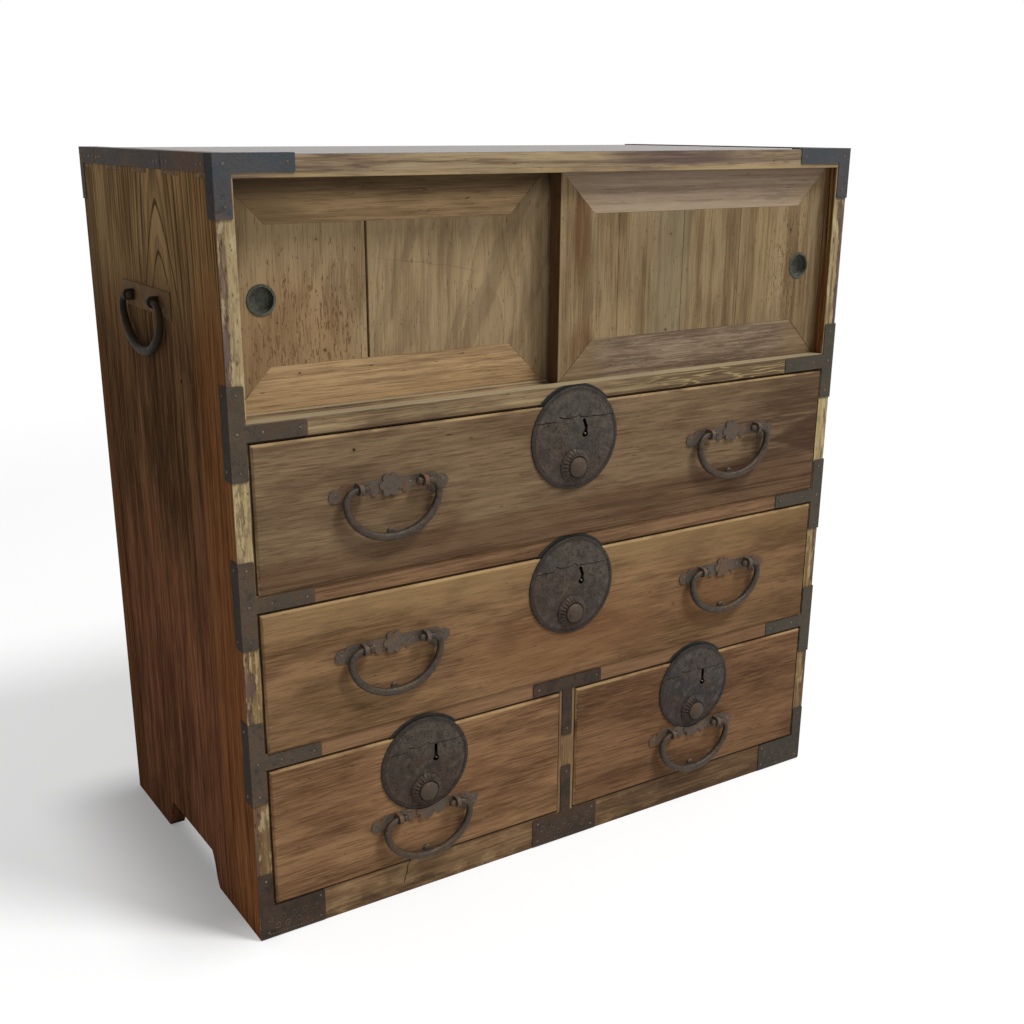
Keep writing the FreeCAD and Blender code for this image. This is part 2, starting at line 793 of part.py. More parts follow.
def eye_lug(x, stand):
    """An upstanding eye for the bail's pin, about a pivot in front of the face."""
    x0, x1 = x - eye_thickness / 2, x + eye_thickness / 2
    ring = rod_x(eye_radius, -stand, 0, x0, x1)
    neck = block(x0, x1, -stand, 0, -eye_radius, eye_radius)
    return ring.fuse(neck).cut(rod_x(bail_pin_radius + pin_play, -stand, 0, x0, x1))


def plate_lobe(radius, x, z, thickness):
    return rod_y(radius, x, z, -thickness, 0)


def handle_plate():
    """A backplate about its pivot line: lobed ends, a flower boss and two eyes."""
    t = handle_plate_thickness
    tip = handle_plate_length / 2 - end_lobe_radius
    neck = tip - end_lobe_radius * 3 / 2
    foot = handle_plate_top - handle_plate_strip
    strip = block(-neck, neck, -t, 0, foot, handle_plate_top)
    upper = handle_plate_top - end_lobe_radius
    lower = handle_plate_top - handle_plate_end + end_lobe_radius
    lobes = []
    for way in (-1, 1):
        lobes.append(plate_lobe(end_lobe_radius, way * tip, (upper + lower) / 2, t))
        lobes.append(plate_lobe(end_lobe_radius, way * neck, upper, t))
        lobes.append(plate_lobe(end_lobe_radius, way * neck, lower, t))
        lobes.append(plate_lobe(fringe_lobe_radius, way * fringe_lobe_x, foot, t))
        lobes.append(eye_lug(way * bail_eye_x, eye_stand))
    boss_z = (foot + handle_plate_top) / 2
    for i in range(boss_petals):
        a = 2 * pi * i / boss_petals
        lobes.append(plate_lobe(boss_petal_radius, boss_radius * cos(a),
                                boss_z + boss_radius * sin(a), boss_thickness))
    lobes.append(plate_lobe(boss_radius, 0, boss_z, boss_thickness))
    return strip.fuse(lobes).removeSplitter()


def striker():
    """The stud that the hanging bail rests against."""
    height = eye_stand - bail_middle_radius - bail_play
    stud = rod_y(striker_radius, 0, striker_rise - bail_drop, -height, 0)
    rim = [e for e in stud.Edges if abs(e.CenterOfMass.y + height) < height / 10]
    return stud.makeChamfer(height / 3, rim)


def handle_fixings(x, z, lock_bite):
    """Backplate and striker in place. A lock plate that lies over the backplate notches it."""
    plate = handle_plate()
    stud = striker()
    for piece in (plate, stud):
        piece.translate(FreeCAD.Vector(x, drawer_face, z))
    if lock_bite:
        lock_x, lock_z, radius = lock_bite
        plate = plate.cut(rod_y(radius + bail_play, lock_x, lock_z,
                                drawer_face - boss_thickness - cut_over, drawer_face))
    return [plate, stud]


def on_left_side(piece):
    """Turn a piece made about a handle's pivot, and set it on the left side panel."""
    piece.rotate(FreeCAD.Vector(0, 0, 0), FreeCAD.Vector(0, 0, 1), -90)
    piece.translate(FreeCAD.Vector(-half, side_handle_y, side_handle_height))
    return piece


def side_handle_eyes():
    """Two eyes on each side panel, standing up through the backplate."""
    pieces = []
    for way in (-1, 1):
        eye = on_left_side(eye_lug(way * side_eye_y, side_eye_stand))
        pieces += [eye, mirrored(eye)]
    return pieces


def side_handle_plate():
    """A plain backplate whose ends hang lower than its middle, slotted for the two eyes."""
    t = handle_plate_thickness
    tip = side_plate_length / 2
    neck = tip - side_plate_ear
    foot = side_plate_top - side_plate_strip
    ear = side_plate_top - side_plate_end
    outline = [(-tip, side_plate_top), (tip, side_plate_top), (tip, ear),
               (neck, foot), (-neck, foot), (-tip, ear)]
    corners = [FreeCAD.Vector(x, -t, z) for x, z in outline]
    plate = Part.Face(Part.makePolygon(corners + corners[:1])).extrude(FreeCAD.Vector(0, t, 0))
    ends = [e for e in plate.Edges if e.Length < 2 * t and abs(abs(e.CenterOfMass.x) - tip) < t]
    plate = plate.makeFillet(side_plate_corner, ends)
    slots = []
    for way in (-1, 1):
        x0 = way * side_eye_y - eye_thickness / 2 - pin_play
        x1 = way * side_eye_y + eye_thickness / 2 + pin_play
        slots.append(block(x0, x1, -t - cut_over, cut_over, -eye_radius - pin_play, eye_radius + pin_play))
    return on_left_side(plate.cut(slots))


# Drawers

drawer_end = board_back - drawer_back_gap


def drawer_front(x0, x1, z0, z1, lock_x, lock_z):
    """The drawer front: chamfered, rebated for the sides and bottom, and cut for the lock."""
    left, right = x0 + drawer_gap, x1 - drawer_gap
    low, high = z0 + run_gap, z1 - drawer_gap
    rear = drawer_face + drawer_front_thickness
    board = block(left, right, drawer_face, rear, low, high)
    arrises = [e for e in board.Edges if abs(e.CenterOfMass.y - drawer_face) < drawer_gap / 10]
    board = board.makeChamfer(drawer_chamfer, arrises)
    rebate = drawer_side_inset + drawer_side_thickness
    lap = drawer_face + drawer_lip
    side_top = high - drawer_side_drop
    cutters = [block(left, left + rebate, lap, rear, low, side_top),
               block(right - rebate, right, lap, rear, low, side_top),
               block(left, right, lap, rear, low, low + drawer_bottom_thickness),
               lock_case_block(lock_x, lock_z)]
    return board.cut(cutters)


def drawer_box(x0, x1, z0, z1):
    """Two sides lapped into the front, finger-jointed to the back."""
    left, right = x0 + drawer_gap + drawer_side_inset, x1 - drawer_gap - drawer_side_inset
    low = z0 + run_gap + drawer_bottom_thickness
    high = z1 - drawer_gap - drawer_side_drop
    lap = drawer_face + drawer_lip
    t = drawer_side_thickness
    inside = drawer_end - drawer_back_thickness
    step = (high - low) / drawer_finger_count
    pieces = [block(left, left + t, lap, drawer_end, low, high),
              block(right - t, right, lap, drawer_end, low, high)]
    fingers = []
    for i in range(1, drawer_finger_count, 2):
        for x in (left, right - t):
            fingers.append(block(x, x + t, inside, drawer_end, low + i * step, low + (i + 1) * step))
    rear = block(left + t, right - t, inside, drawer_end, low, high).fuse(fingers).removeSplitter()
    return [piece.cut(fingers) for piece in pieces] + [rear]


def drawer_bottom(x0, x1, z0):
    left, right = x0 + drawer_gap + drawer_side_inset, x1 - drawer_gap - drawer_side_inset
    low = z0 + run_gap
    return block(left, right, drawer_face + drawer_lip, drawer_end, low, low + drawer_bottom_thickness)


# Each drawer: name, opening, lock radius, bend of the keyhole, handles and their height
long_span = (-inner, inner)
left_span = (-inner, -partition_half)
right_span = (partition_half, inner)
upper_handle_z = (upper_rail_top + sill_bottom) / 2 + long_handle_rise
middle_handle_z = (lower_rail_top + upper_rail_bottom) / 2 + long_handle_rise
short_handle_z = (base_top + lower_rail_bottom) / 2 - short_handle_drop
drawers = [
    ("upper_drawer", long_span, upper_rail_top, sill_bottom, long_lock_radius, keyhole_bend,
     {"left": -long_handle_x, "right": long_handle_x}, upper_handle_z),
    ("middle_drawer", long_span, lower_rail_top, upper_rail_bottom, long_lock_radius, keyhole_bend,
     {"left": -long_handle_x, "right": long_handle_x}, middle_handle_z),
    ("lower_left_drawer", left_span, base_top, lower_rail_bottom, short_lock_radius, 0,
     {"": sum(left_span) / 2}, short_handle_z),
    ("lower_right_drawer", right_span, base_top, lower_rail_bottom, short_lock_radius, 0,
     {"": sum(right_span) / 2}, short_handle_z),
]


def build_drawer(name, span, z0, z1, radius, bend, handles, handle_z):
    """Save a drawer's pieces, and give back the strike plate that belongs above it."""
    x0, x1 = span
    lock_x = (x0 + x1) / 2
    lock_z = z1 - lock_drop
    button_z = lock_z - button_drop
    save(name + "_front", [drawer_front(x0, x1, z0, z1, lock_x, lock_z)])
    save(name + "_box", drawer_box(x0, x1, z0, z1))
    save(name + "_bottom", [drawer_bottom(x0, x1, z0)])
    save(name + "_lock", [lock_plate(lock_x, lock_z, radius, bend).fuse(collar(lock_x, button_z)),
                          lock_case(lock_x, lock_z, bend)])
    save(name + "_button", [push_button(lock_x, button_z)])
    fixings = []
    for side, x in handles.items():
        under_lock = abs(x - lock_x) < radius
        fixings += handle_fixings(x, handle_z, (lock_x, lock_z, radius) if under_lock else None)
        label = name + "_" + side + "_bail" if side else name + "_bail"
        save(label, [drawer_bail(x, handle_z)])
    save(name + "_handle_plates", fixings)
    return strike_plate(lock_x, lock_z, radius, z1, z1 + rail_thickness)


def build_doors():
    doors = [("left_door", left_door_width, -1, (outer_margin, left_meeting_margin),
              rear_track + track_play, left_board_joint_shares, left_board_gap),
             ("right_door", right_door_width, 1, (right_meeting_margin, outer_margin),
              front_track + track_play, right_board_joint_shares, right_board_gap)]
    for name, width, side, margins, y0, shares, gap in doors:
        edges = door_span(width, side)
        ends = (edges[0] + margins[0], edges[1] - margins[1])
        save(name + "_battens", door_battens(edges, ends, y0))
        save(name + "_boards", door_boards(edges, ends, side, y0, shares, gap))
        save(name + "_pull", [door_pull(side, y0)])


def build_carcass():
    save("left_side_panel", [side_panel()])
    save("right_side_panel", [mirrored(side_panel())])
    save("top_board", [top_board()])
    save("bottom_board", [bottom_board()])
    save("back_boards", back_boards())
    save("base_rail", [base_rail()])
    save("door_sill", [door_sill()])
    save("compartment_floor", [compartment_floor()])
    save("upper_rail", [cross_rail(upper_rail_bottom)])
    save("lower_rail", [lower_rail()])
    save("dust_boards", [dust_board(lower_rail_top), dust_board(upper_rail_top)])
    save("shelf_cleats", cleats())
    save("centre_partition", [centre_partition()])


def build_ironwork():
    bracket = top_corner_bracket()
    corner = base_corner_plate()
    save("top_corner_brackets", [bracket, mirrored(bracket)])
    save("top_edge_straps", top_edge_straps())
    save("side_t_plates", side_t_plates())
    save("base_corner_plates", [corner, mirrored(corner)])
    save("centre_plates", centre_plates())
    plate = side_handle_plate()
    save("side_handle_plates", [plate, mirrored(plate)])
    save("side_handle_eyes", side_handle_eyes())
    save("left_side_bail", [side_bail()])
    save("right_side_bail", [mirrored(side_bail())])


os.makedirs("parts", exist_ok=True)
build_carcass()
build_ironwork()
build_doors()
save("strike_plates", [build_drawer(*drawer) for drawer in drawers])
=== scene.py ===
import json
import math
import random

import bmesh
import bpy
from mathutils import Matrix, Vector


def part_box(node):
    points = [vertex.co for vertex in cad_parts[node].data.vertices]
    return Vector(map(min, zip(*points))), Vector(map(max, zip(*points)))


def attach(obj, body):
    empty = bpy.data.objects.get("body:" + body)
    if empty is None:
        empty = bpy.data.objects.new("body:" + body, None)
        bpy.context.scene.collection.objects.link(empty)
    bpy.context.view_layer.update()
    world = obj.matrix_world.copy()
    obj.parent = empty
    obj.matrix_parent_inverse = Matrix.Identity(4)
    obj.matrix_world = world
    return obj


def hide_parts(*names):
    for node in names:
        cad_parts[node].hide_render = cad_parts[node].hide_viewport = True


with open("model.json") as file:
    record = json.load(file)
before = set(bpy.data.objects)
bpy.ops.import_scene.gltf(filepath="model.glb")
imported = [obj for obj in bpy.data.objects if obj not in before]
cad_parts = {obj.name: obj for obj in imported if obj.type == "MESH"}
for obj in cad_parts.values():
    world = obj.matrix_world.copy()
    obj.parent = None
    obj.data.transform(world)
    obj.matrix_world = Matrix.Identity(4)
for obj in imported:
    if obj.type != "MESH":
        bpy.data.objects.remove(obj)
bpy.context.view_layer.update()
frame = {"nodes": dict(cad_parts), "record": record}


# Side panels. Broad flat-sawn cedar boards, stained red-brown and darkened by hands and
# smoke. Their front edges, 20 mm wide, are bare pale wood. They stand on two feet with an
# arch between them, and their fingers pass up through the top.

class Amount:
    """What a node gives out. Arithmetic on one that is a number adds the Math nodes."""

    def __init__(self, finish, socket):
        self.finish, self.socket = finish, socket

    def through(self, operation, *inputs):
        node = self.finish.tree.nodes.new("ShaderNodeMath")
        node.operation = operation
        for slot, given in zip(node.inputs, inputs):
            if isinstance(given, Amount):
                self.finish.tree.links.new(given.socket, slot)
            else:
                slot.default_value = given
        return Amount(self.finish, node.outputs[0])

    def __add__(self, other):
        return self.through("ADD", self, other)

    def __radd__(self, other):
        return self.through("ADD", other, self)

    def __sub__(self, other):
        return self.through("SUBTRACT", self, other)

    def __rsub__(self, other):
        return self.through("SUBTRACT", other, self)

    def __mul__(self, other):
        return self.through("MULTIPLY", self, other)

    def __rmul__(self, other):
        return self.through("MULTIPLY", other, self)

    def __truediv__(self, other):
        return self.through("DIVIDE", self, other)

    def __pow__(self, other):
        return self.through("POWER", self, other)

    def __abs__(self):
        return self.through("ABSOLUTE", self)

    def least(self, other):
        return self.through("MINIMUM", self, other)

    def most(self, other):
        return self.through("MAXIMUM", self, other)

    def step(self, low, high):
        """0 where this is at low or past it, 1 at high or past it, and smooth between them."""
        return self.finish.node("ShaderNodeMapRange", {"interpolation_type": "SMOOTHSTEP"},
                                {0: self, 1: low, 2: high, 3: 0.0, 4: 1.0})

    def between(self, low, high, soft):
        """1 between two levels, with soft ends."""
        return self.step(low - soft, low + soft) * (1 - self.step(high - soft, high + soft))


class Finish:
    """One material, or the world, built up node by node."""

    def __init__(self, name, kind="materials"):
        self.material = getattr(bpy.data, kind).new(name)
        self.material.use_nodes = True
        self.tree = self.material.node_tree
        self.tree.nodes.clear()
        if kind == "materials":
            place = self.node("ShaderNodeTexCoord", out="Object")
            self.x, self.y, self.z = (self.node("ShaderNodeSeparateXYZ", sockets={0: place}, out=i)
                                      for i in range(3))

    def node(self, kind, settings=None, sockets=None, out=0):
        made = self.tree.nodes.new(kind)
        for setting, given in (settings or {}).items():
            setattr(made, setting, given)
        for slot, given in (sockets or {}).items():
            if isinstance(given, Amount):
                self.tree.links.new(given.socket, made.inputs[slot])
            else:
                made.inputs[slot].default_value = given
        return Amount(self, made.outputs[out]) if made.outputs else None

    def point(self, x, y, z):
        return self.node("ShaderNodeCombineXYZ", sockets={0: x, 1: y, 2: z})

    def cloud(self, where, detail=2.0, roughness=0.5):
        return self.node("ShaderNodeTexNoise", sockets={"Vector": self.point(*where), "Scale": 1.0,
                                                        "Detail": detail, "Roughness": roughness})

    def cells(self, where):
        """A field of scattered cells: the way to the nearest one's middle, and its own number."""
        sockets = {"Vector": self.point(*where), "Scale": 1.0}
        gap = self.node("ShaderNodeTexVoronoi", {}, sockets, out="Distance")
        cell = self.node("ShaderNodeTexVoronoi", {}, sockets, out="Color")
        return gap, self.node("ShaderNodeSeparateColor", {}, {0: cell})

    def mix(self, share, under, over):
        """Colours are worked out by nodes, or given as they look, from 0 to 255."""
        return self.node("ShaderNodeMix", {"data_type": "RGBA"},
                         {0: share, 6: reflected(under), 7: reflected(over)}, out=2)

    def coats(self, ground, *coats):
        """A ground colour and the coats over it, each by its share and its colour."""
        for share, colour in coats:
            ground = self.mix(share, ground, colour)
        return ground

    def surface(self, colour, roughness, height=None, depth=0.0, metallic=0.0, shine=0.05, coat=0.0):
        sockets = {"Base Color": reflected(colour), "Roughness": roughness, "Metallic": metallic,
                   "Specular IOR Level": shine, "Coat Weight": coat, "Coat Roughness": 0.35}
        if height is not None:
            sockets["Normal"] = self.node("ShaderNodeBump", sockets={
                "Strength": 1.0, "Distance": depth, "Height": height})
        shader = self.node("ShaderNodeBsdfPrincipled", sockets=sockets)
        self.node("ShaderNodeOutputMaterial", sockets={"Surface": shader})
        return self.material


def reflected(colour):
    """The light that a colour reflects. One that nodes work out is that light already."""
    if isinstance(colour, Amount):
        return colour
    return (*(c / 255 / 12.92 if c < 10.3 else ((c / 255 + 0.055) / 1.055) ** 2.4 for c in colour), 1.0)


def away(a, b):
    """How far a place is, from how far it is across and along."""
    return (a * a + b * b) ** 0.5


def spot(across, along, centre, size):
    """A soft oval patch: 1 in its middle and 0 at its edge."""
    return 1 - away((across - centre[0]) / size[0], (along - centre[1]) / size[1]).step(0.35, 1.0)


def years(finish, radius, ring, seed):
    """Growth rings: each darkens slowly, then ends at a sharp edge, and no two are alike."""
    count = finish.cloud((radius * (0.35 / ring) + seed, 0.0, 0.0), 2.0) * 2.2 + radius / ring
    phase = count.through("FRACT", count)
    each = finish.node("ShaderNodeTexWhiteNoise", {"noise_dimensions": "1D"},
                       {"W": count.through("FLOOR", count) + seed})
    late = phase.step(0.25, 0.93) * (1 - phase.step(0.93, 1.0))
    return late * (each * 0.7 + 0.3)


def fibres(finish, l, u, v, seed):
    """What runs along the grain: fine fibres, broader streaks, soft patches and small nicks."""
    wave = (finish.cloud((l * 4.0 + seed, u * 9.0, v * 9.0), 2.0) - 0.5) * 0.012
    return (finish.cloud((l * 22.0 + seed, (u + wave) * 560.0, v * 560.0), 4.0, 0.65),
            finish.cloud((l * 2.8 + seed, (u + wave) * 140.0, v * 140.0), 4.0, 0.65),
            finish.cloud((l * 4.5 + (seed + 3.7), (u + wave) * 16.0, v * 16.0), 4.0, 0.6),
            finish.cloud((l * 70.0 + seed, (u + wave) * 300.0, v * 300.0), 2.0, 0.5))


def dressed(node, material, arris=0.0006):
    """Give a CAD piece its finish, with its sharp edges eased by hand."""
    piece = frame["nodes"][node]
    piece.data.materials.clear()
    piece.data.materials.append(material)
    weld = piece.modifiers.new("weld", "WELD")
    weld.merge_threshold = 0.00001
    ease = piece.modifiers.new("ease", "BEVEL")
    ease.width, ease.segments, ease.limit_method, ease.angle_limit = arris, 2, "ANGLE", 0.6
    piece.modifiers.new("even", "WEIGHTED_NORMAL")
    return piece


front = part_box("left_side_panel")[0].y
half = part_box("right_side_panel")[1].x
panel_board = 0.020


def cedar(name, heart, tip, seed):
    """Heart is the line, measured back from the front edge, where the pointed arches stand, and
    tip is the height of the tallest."""
    finish = Finish(name)
    b, z = finish.y - front, finish.z
    fibre, streak, patch, nick = fibres(finish, z, b, finish.x, seed)
    sway = (finish.cloud((z * 2.2 + seed, b * 5.0, 0.0), 2.0) - 0.5) * 0.026
    ripple = (finish.cloud((z * 9.0 + seed, b * 30.0, 0.0), 2.0) - 0.5) * 0.0035
    depth = z.through("EXPONENT", (z - 0.845) * 1.25) * 0.071
    off = b - heart + sway + ripple
    late = years(finish, away(off, depth), 0.0068, seed)
    hand = spot(b, z, (0.21, 0.60), (0.17, 0.20)) * patch.step(0.25, 0.6)
    clear = (z + (patch - 0.5) * 0.3).step(0.66, 0.80)
    low = 1 - (z + (patch - 0.5) * 0.3).step(0.30, 0.62)
    sunned = 1 - (b + (streak - 0.5) * 0.05).step(0.035, 0.125)
    strength = (clear * 0.60 + sunned * 0.20 + 0.20) * (1 - hand * 0.7)
    colour = finish.coats(
        finish.mix(patch.step(0.35, 0.65), (112, 84, 58), (78, 55, 37)),
        (clear, finish.mix(patch.step(0.3, 0.7), (174, 145, 104), (130, 103, 70))),
        (low, finish.mix(patch.step(0.4, 0.6), (124, 80, 58), (96, 62, 45))),
        (hand * 0.8, (70, 52, 37)),
        (sunned * 0.6, finish.mix(clear, (140, 87, 48), (142, 102, 60))),
        ((b + (patch - 0.5) * 0.06).step(0.385, 0.43) * 0.5, (88, 68, 50)),
        (late * strength, (48, 31, 21)))
    cone = z + (abs(off) ** 1.4) * 6.2
    for apex, tall in ((tip, 0.008), (tip - 0.055, 0.006)):
        ring = (cone + (fibre - 0.5) * 0.004).between(apex - tall, apex, 0.0014)
        colour = finish.mix(ring * z.step(tip - 0.28, tip - 0.10) * 0.8, colour, (48, 30, 20))
    line = b - 0.4130 - (z - 0.4) * 0.02 + (streak - 0.5) * 0.006
    repair = line.step(0.0, 0.004) * (1 - (z + (streak - 0.5) * 0.02).step(0.651, 0.659))
    crack = line.between(-0.0008, 0.0008, 0.0007) * z.between(0.10, 0.655, 0.01)
    scar = finish.cells((z / 0.05 + seed, b / 0.05, 0.0))
    dent = (1 - scar[0].step(0.03, 0.06)) * scar[1].through("LESS_THAN", scar[1], 0.35)
    inward = (half - abs(finish.x)) / panel_board
    ragged = finish.cloud((z * 13.0 + seed, 0.0, finish.x * 60.0), 5.0, 0.7) - 0.5
    border = inward + ragged * 1.9
    pale = finish.mix(streak.step(0.40, 0.60), (190, 168, 120), (136, 112, 74))
    pale = finish.mix(nick.step(0.60, 0.70) * 0.7, pale, (206, 188, 150))
    grey = finish.mix(patch.step(0.42, 0.60), (98, 80, 78), (142, 118, 90))
    waist = z.between(0.42, 0.60, 0.02)
    smear = finish.cloud((z * 26.0 + seed, 0.0, finish.x * 110.0), 5.0, 0.7)
    chip = nick.step(0.33, 0.25)
    # painted shade on the edge's inner strip next to the drawers, where the gap falls dark
    gap = (inward + (fibre - 0.5) * 0.1).step(0.90, 0.95) * z.between(0.045, 0.602, 0.002)
    bare = finish.coats(
        finish.mix((border + waist * 0.2).step(0.22, 0.40), grey, pale),
        (waist * 0.72, (186, 166, 122)),
        ((z + (patch - 0.5) * 0.1).step(0.60, 0.68) * 0.30, (112, 98, 92)),
        (border.between(0.20, 0.34, 0.05) * 0.6, (78, 58, 56)),
        ((z + (patch - 0.5) * 0.25).step(0.40, 0.20) * 0.6, (106, 78, 54)),
        (fibre.step(0.50, 0.68) * 0.35, (92, 72, 52)),
        (smear.step(0.53, 0.60) * 0.45, (108, 88, 80)),
        (smear.step(0.46, 0.38) * 0.5, (200, 183, 144)),
        (chip * 0.6, (62, 44, 34)),
        (gap * 0.9, (34, 22, 14)))
    edge = 1 - finish.y.step(front + 0.0004, front + 0.0012)
    colour = finish.coats(
        colour,
        (streak.step(0.49, 0.60) * 0.42, (50, 34, 23)),
        (streak.step(0.46, 0.38) * 0.28, (152, 106, 64)),
        (fibre.step(0.52, 0.62) * 0.28, (158, 118, 76)),
        (fibre.step(0.48, 0.38) * 0.38, (38, 26, 17)),
        (repair * 0.3, (104, 60, 32)),
        (crack * 0.9, (24, 14, 9)),
        (dent * 0.8, (34, 22, 14)),
        (edge, bare))
    rough = 0.60 - clear * 0.06 + (fibre - 0.5) * 0.12 + edge * 0.1
    height = fibre + late - dent * 2 - crack * 5 - chip * edge * 1.5
    return finish.surface(colour, rough, height, 0.0006, shine=0.0)


dressed("left_side_panel", cedar("cedar_left", 0.181, 0.843, 1.3))
dressed("right_side_panel", cedar("cedar_right", 0.25, 0.76, 7.9))


# Top. One paulownia board with the grain from left to right, its front edge bare and
# worn. Its ends are fingered into the side panels, and the doors run in grooves under it.

def paulownia(name, along, pith, ring, seed, tones, slope=(0.0, 0.0), late=0.3, streaky=1.0, pits=None,
              dots=0.0, flecks=0.0, rough=0.62, polished=9.0, joints=(), marks=None):
    """Soft open-grained board. Its rings run round a pith, which slopes along the board. Tones are
    its pale, middle and dark browns. Pits are short reddish pores round one place, dots are small
    round holes, and flecks are short and pale or dark. It is waxed above the height polished. The
    wood changes at each joint, given as a place across the boards, and marks adds what this board
    alone has."""
    finish = Finish(name)
    l, u, v = {"x": (finish.x, finish.y, finish.z), "x upright": (finish.x, finish.z, finish.y),
               "y": (finish.y, finish.x, finish.z), "z": (finish.z, finish.x, finish.y)}[along]
    which = 0.0
    for joint in joints:
        which = which + u.step(joint - 0.0003, joint + 0.0003)
    fibre, streak, patch, nick = fibres(finish, l + which * 3.3, u + which * 1.7, v, seed)
    sway = finish.cloud((l * 3.0 + which * 5.0 + seed, u * 7.0, v * 7.0), 2.0) - 0.5
    drift = finish.cloud((l * 2.0 + (seed + 9.1), u * 5.0, v * 5.0), 1.0) - 0.5
    du = u - (l * slope[0] + pith[0]) + which * 0.031 + sway * 0.012
    dv = v - (l * slope[1] + pith[1]) + drift * 0.012
    rings = years(finish, away(du, dv), ring, seed)
    pale, middle, dark = tones
    board = finish.node("ShaderNodeTexWhiteNoise", {"noise_dimensions": "1D"}, {"W": which + seed})
    cloudy = finish.cloud((l * 8.0 + (seed + 5.3), u * 30.0, v * 30.0), 2.0, 0.5)
    cut = nick.step(0.30, 0.22)
    colour = finish.coats(
        finish.mix(patch.step(0.40, 0.60), middle, pale),
        (board * 0.22, dark),
        (cloudy.step(0.49, 0.64) * (0.55 - 0.20 * streaky), dark),
        (cloudy.step(0.49, 0.35) * (0.55 - 0.20 * streaky), pale),
        (streak.step(0.51, 0.59) * (0.38 * streaky), dark),
        (streak.step(0.46, 0.38) * (0.32 * streaky), pale),
        (rings * late, dark),
        (fibre.step(0.52, 0.61) * 0.34, pale),
        (fibre.step(0.48, 0.39) * 0.46, dark),
        (cut * 0.55, (62, 42, 28)))
    height = fibre + rings * 0.5 + (streak - 0.5) - cut * 1.5
    if pits:
        pore = finish.cloud((l * 105.0 + seed, u * 520.0, v * 520.0), 2.0, 0.55)
        pit = (pore + spot(u, l, *pits) * 0.09).step(0.685, 0.725)
        colour = finish.mix(pit * 0.65, colour, (92, 62, 40))
        height = height - pit * 2.0
    if dots:
        gap, own = finish.cells((l / 0.030 + seed, u / 0.030, v / 0.030))
        dot = (1 - gap.step(0.035, 0.075)) * own.through("LESS_THAN", own, dots)
        halo = (1 - gap.step(0.04, 0.22)) * own.through("LESS_THAN", own, dots)
        colour = finish.mix(halo * 0.30, colour, dark)
        colour = finish.mix(dot * 0.85, colour, (40, 26, 18))
        height = height - dot * 4.0
    if flecks:
        fleck = finish.cloud((l * 42.0 + seed, u * 330.0, v * 330.0), 3.0, 0.6)
        colour = finish.mix(fleck.step(0.56, 0.62) * flecks, colour, (186, 172, 148))
        colour = finish.mix(fleck.step(0.44, 0.38) * flecks, colour, (84, 66, 54))
    if marks:
        colour = marks(finish, colour, streak, patch, fibre)
    waxed = finish.z.step(polished - 0.0007, polished - 0.0002)
    return finish.surface(colour, rough + (streak - 0.5) * 0.15, height, 0.00035, coat=waxed * 0.8)


def top_marks(finish, colour, streak, patch, fibre):
    """Greyed and polished by use on its upper face, and rubbed pale along its lower arris.
    The ends of its fingers are as dark as the side panels."""
    low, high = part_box("top_board")
    ends = abs(finish.x).step(half - 0.0012, half - 0.0004)
    brown = finish.mix(streak.step(0.4, 0.6), (128, 100, 66), (82, 60, 40))
    stain = spot(finish.x, finish.z, (0.13, 0.880), (0.19, 0.02))
    worn = spot(finish.x, finish.z, (-0.10, 0.884), (0.20, 0.02))
    above = finish.z.step(high.z - 0.0010, high.z - 0.0003)
    weathered = finish.mix(streak.step(0.4, 0.65), (104, 96, 88), (76, 68, 62))
    foot = 1 - (finish.z + (streak - 0.5) * 0.006).step(low.z + 0.002, low.z + 0.006)
    rubbed = foot * (1 - finish.y.step(front + 0.001, front + 0.003))
    return finish.coats(
        colour,
        (ends, brown),
        (stain * streak.step(0.35, 0.55) * 0.8, (94, 76, 72)),
        (worn * streak.step(0.65, 0.40) * 0.6, (186, 164, 124)),
        (above, weathered),
        (rubbed * patch.step(0.4, 0.6) * 0.6, (180, 154, 108)))


top_tones = (172, 150, 120), (138, 118, 94), (84, 66, 54)
dressed("top_board", paulownia("top_wood", "x", (-0.05, 0.93), 0.006, 4.2, top_tones, (0.0, 0.05), 0.4,
                               polished=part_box("top_board")[1].z, marks=top_marks))


# Rails, sill and base. Paulownia strips let into the side panels, with the drawers and
# doors between them. The sill has two shallow tracks for the doors.

# painted shade for the dark gaps between the drawers and the rails, sill and base around them
painted_gap_shade = (32, 21, 14)


def sill_marks(finish, colour, streak, patch, fibre):
    """Painted highlight along the raised lips by the tracks, and painted shade along the foot over the
    drawer below. The right half has darkened round the paler lines of its grain."""
    low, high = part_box("door_sill")
    # painted highlight where the lips of the tracks catch the light
    ridge = finish.z.step(high.z - 0.0016, high.z - 0.0002)
    level = finish.z + (streak - 0.5) * 0.006
    under = 1 - level.step(high.z - 0.020, high.z - 0.013)
    band = level.between(low.z + 0.006, low.z + 0.010, 0.002) * patch.step(0.40, 0.55)
    right = (finish.x + (patch - 0.5) * 0.1).step(0.06, 0.20) * (1 - ridge)
    grain = finish.cloud((finish.x * 7.0, finish.y * 40.0, finish.z * 120.0), 2.0, 0.5)
    line = grain.between(0.530, 0.565, 0.008).most(grain.between(0.430, 0.455, 0.008))
    close = finish.z + (streak - 0.5) * 0.001
    # painted shade along the sill's foot, over the gap to the drawer below
    gap = 1 - close.step(low.z + 0.0016, low.z + 0.0022)
    return finish.coats(
        colour,
        (ridge * 0.6, (168, 154, 124)),
        (under * 0.35, (92, 68, 48)),
        (band * 0.5, (188, 166, 122)),
        (right * 0.66, (84, 66, 52)),
        (line * right * 0.62, (182, 158, 110)),
        (gap * 0.9, painted_gap_shade))


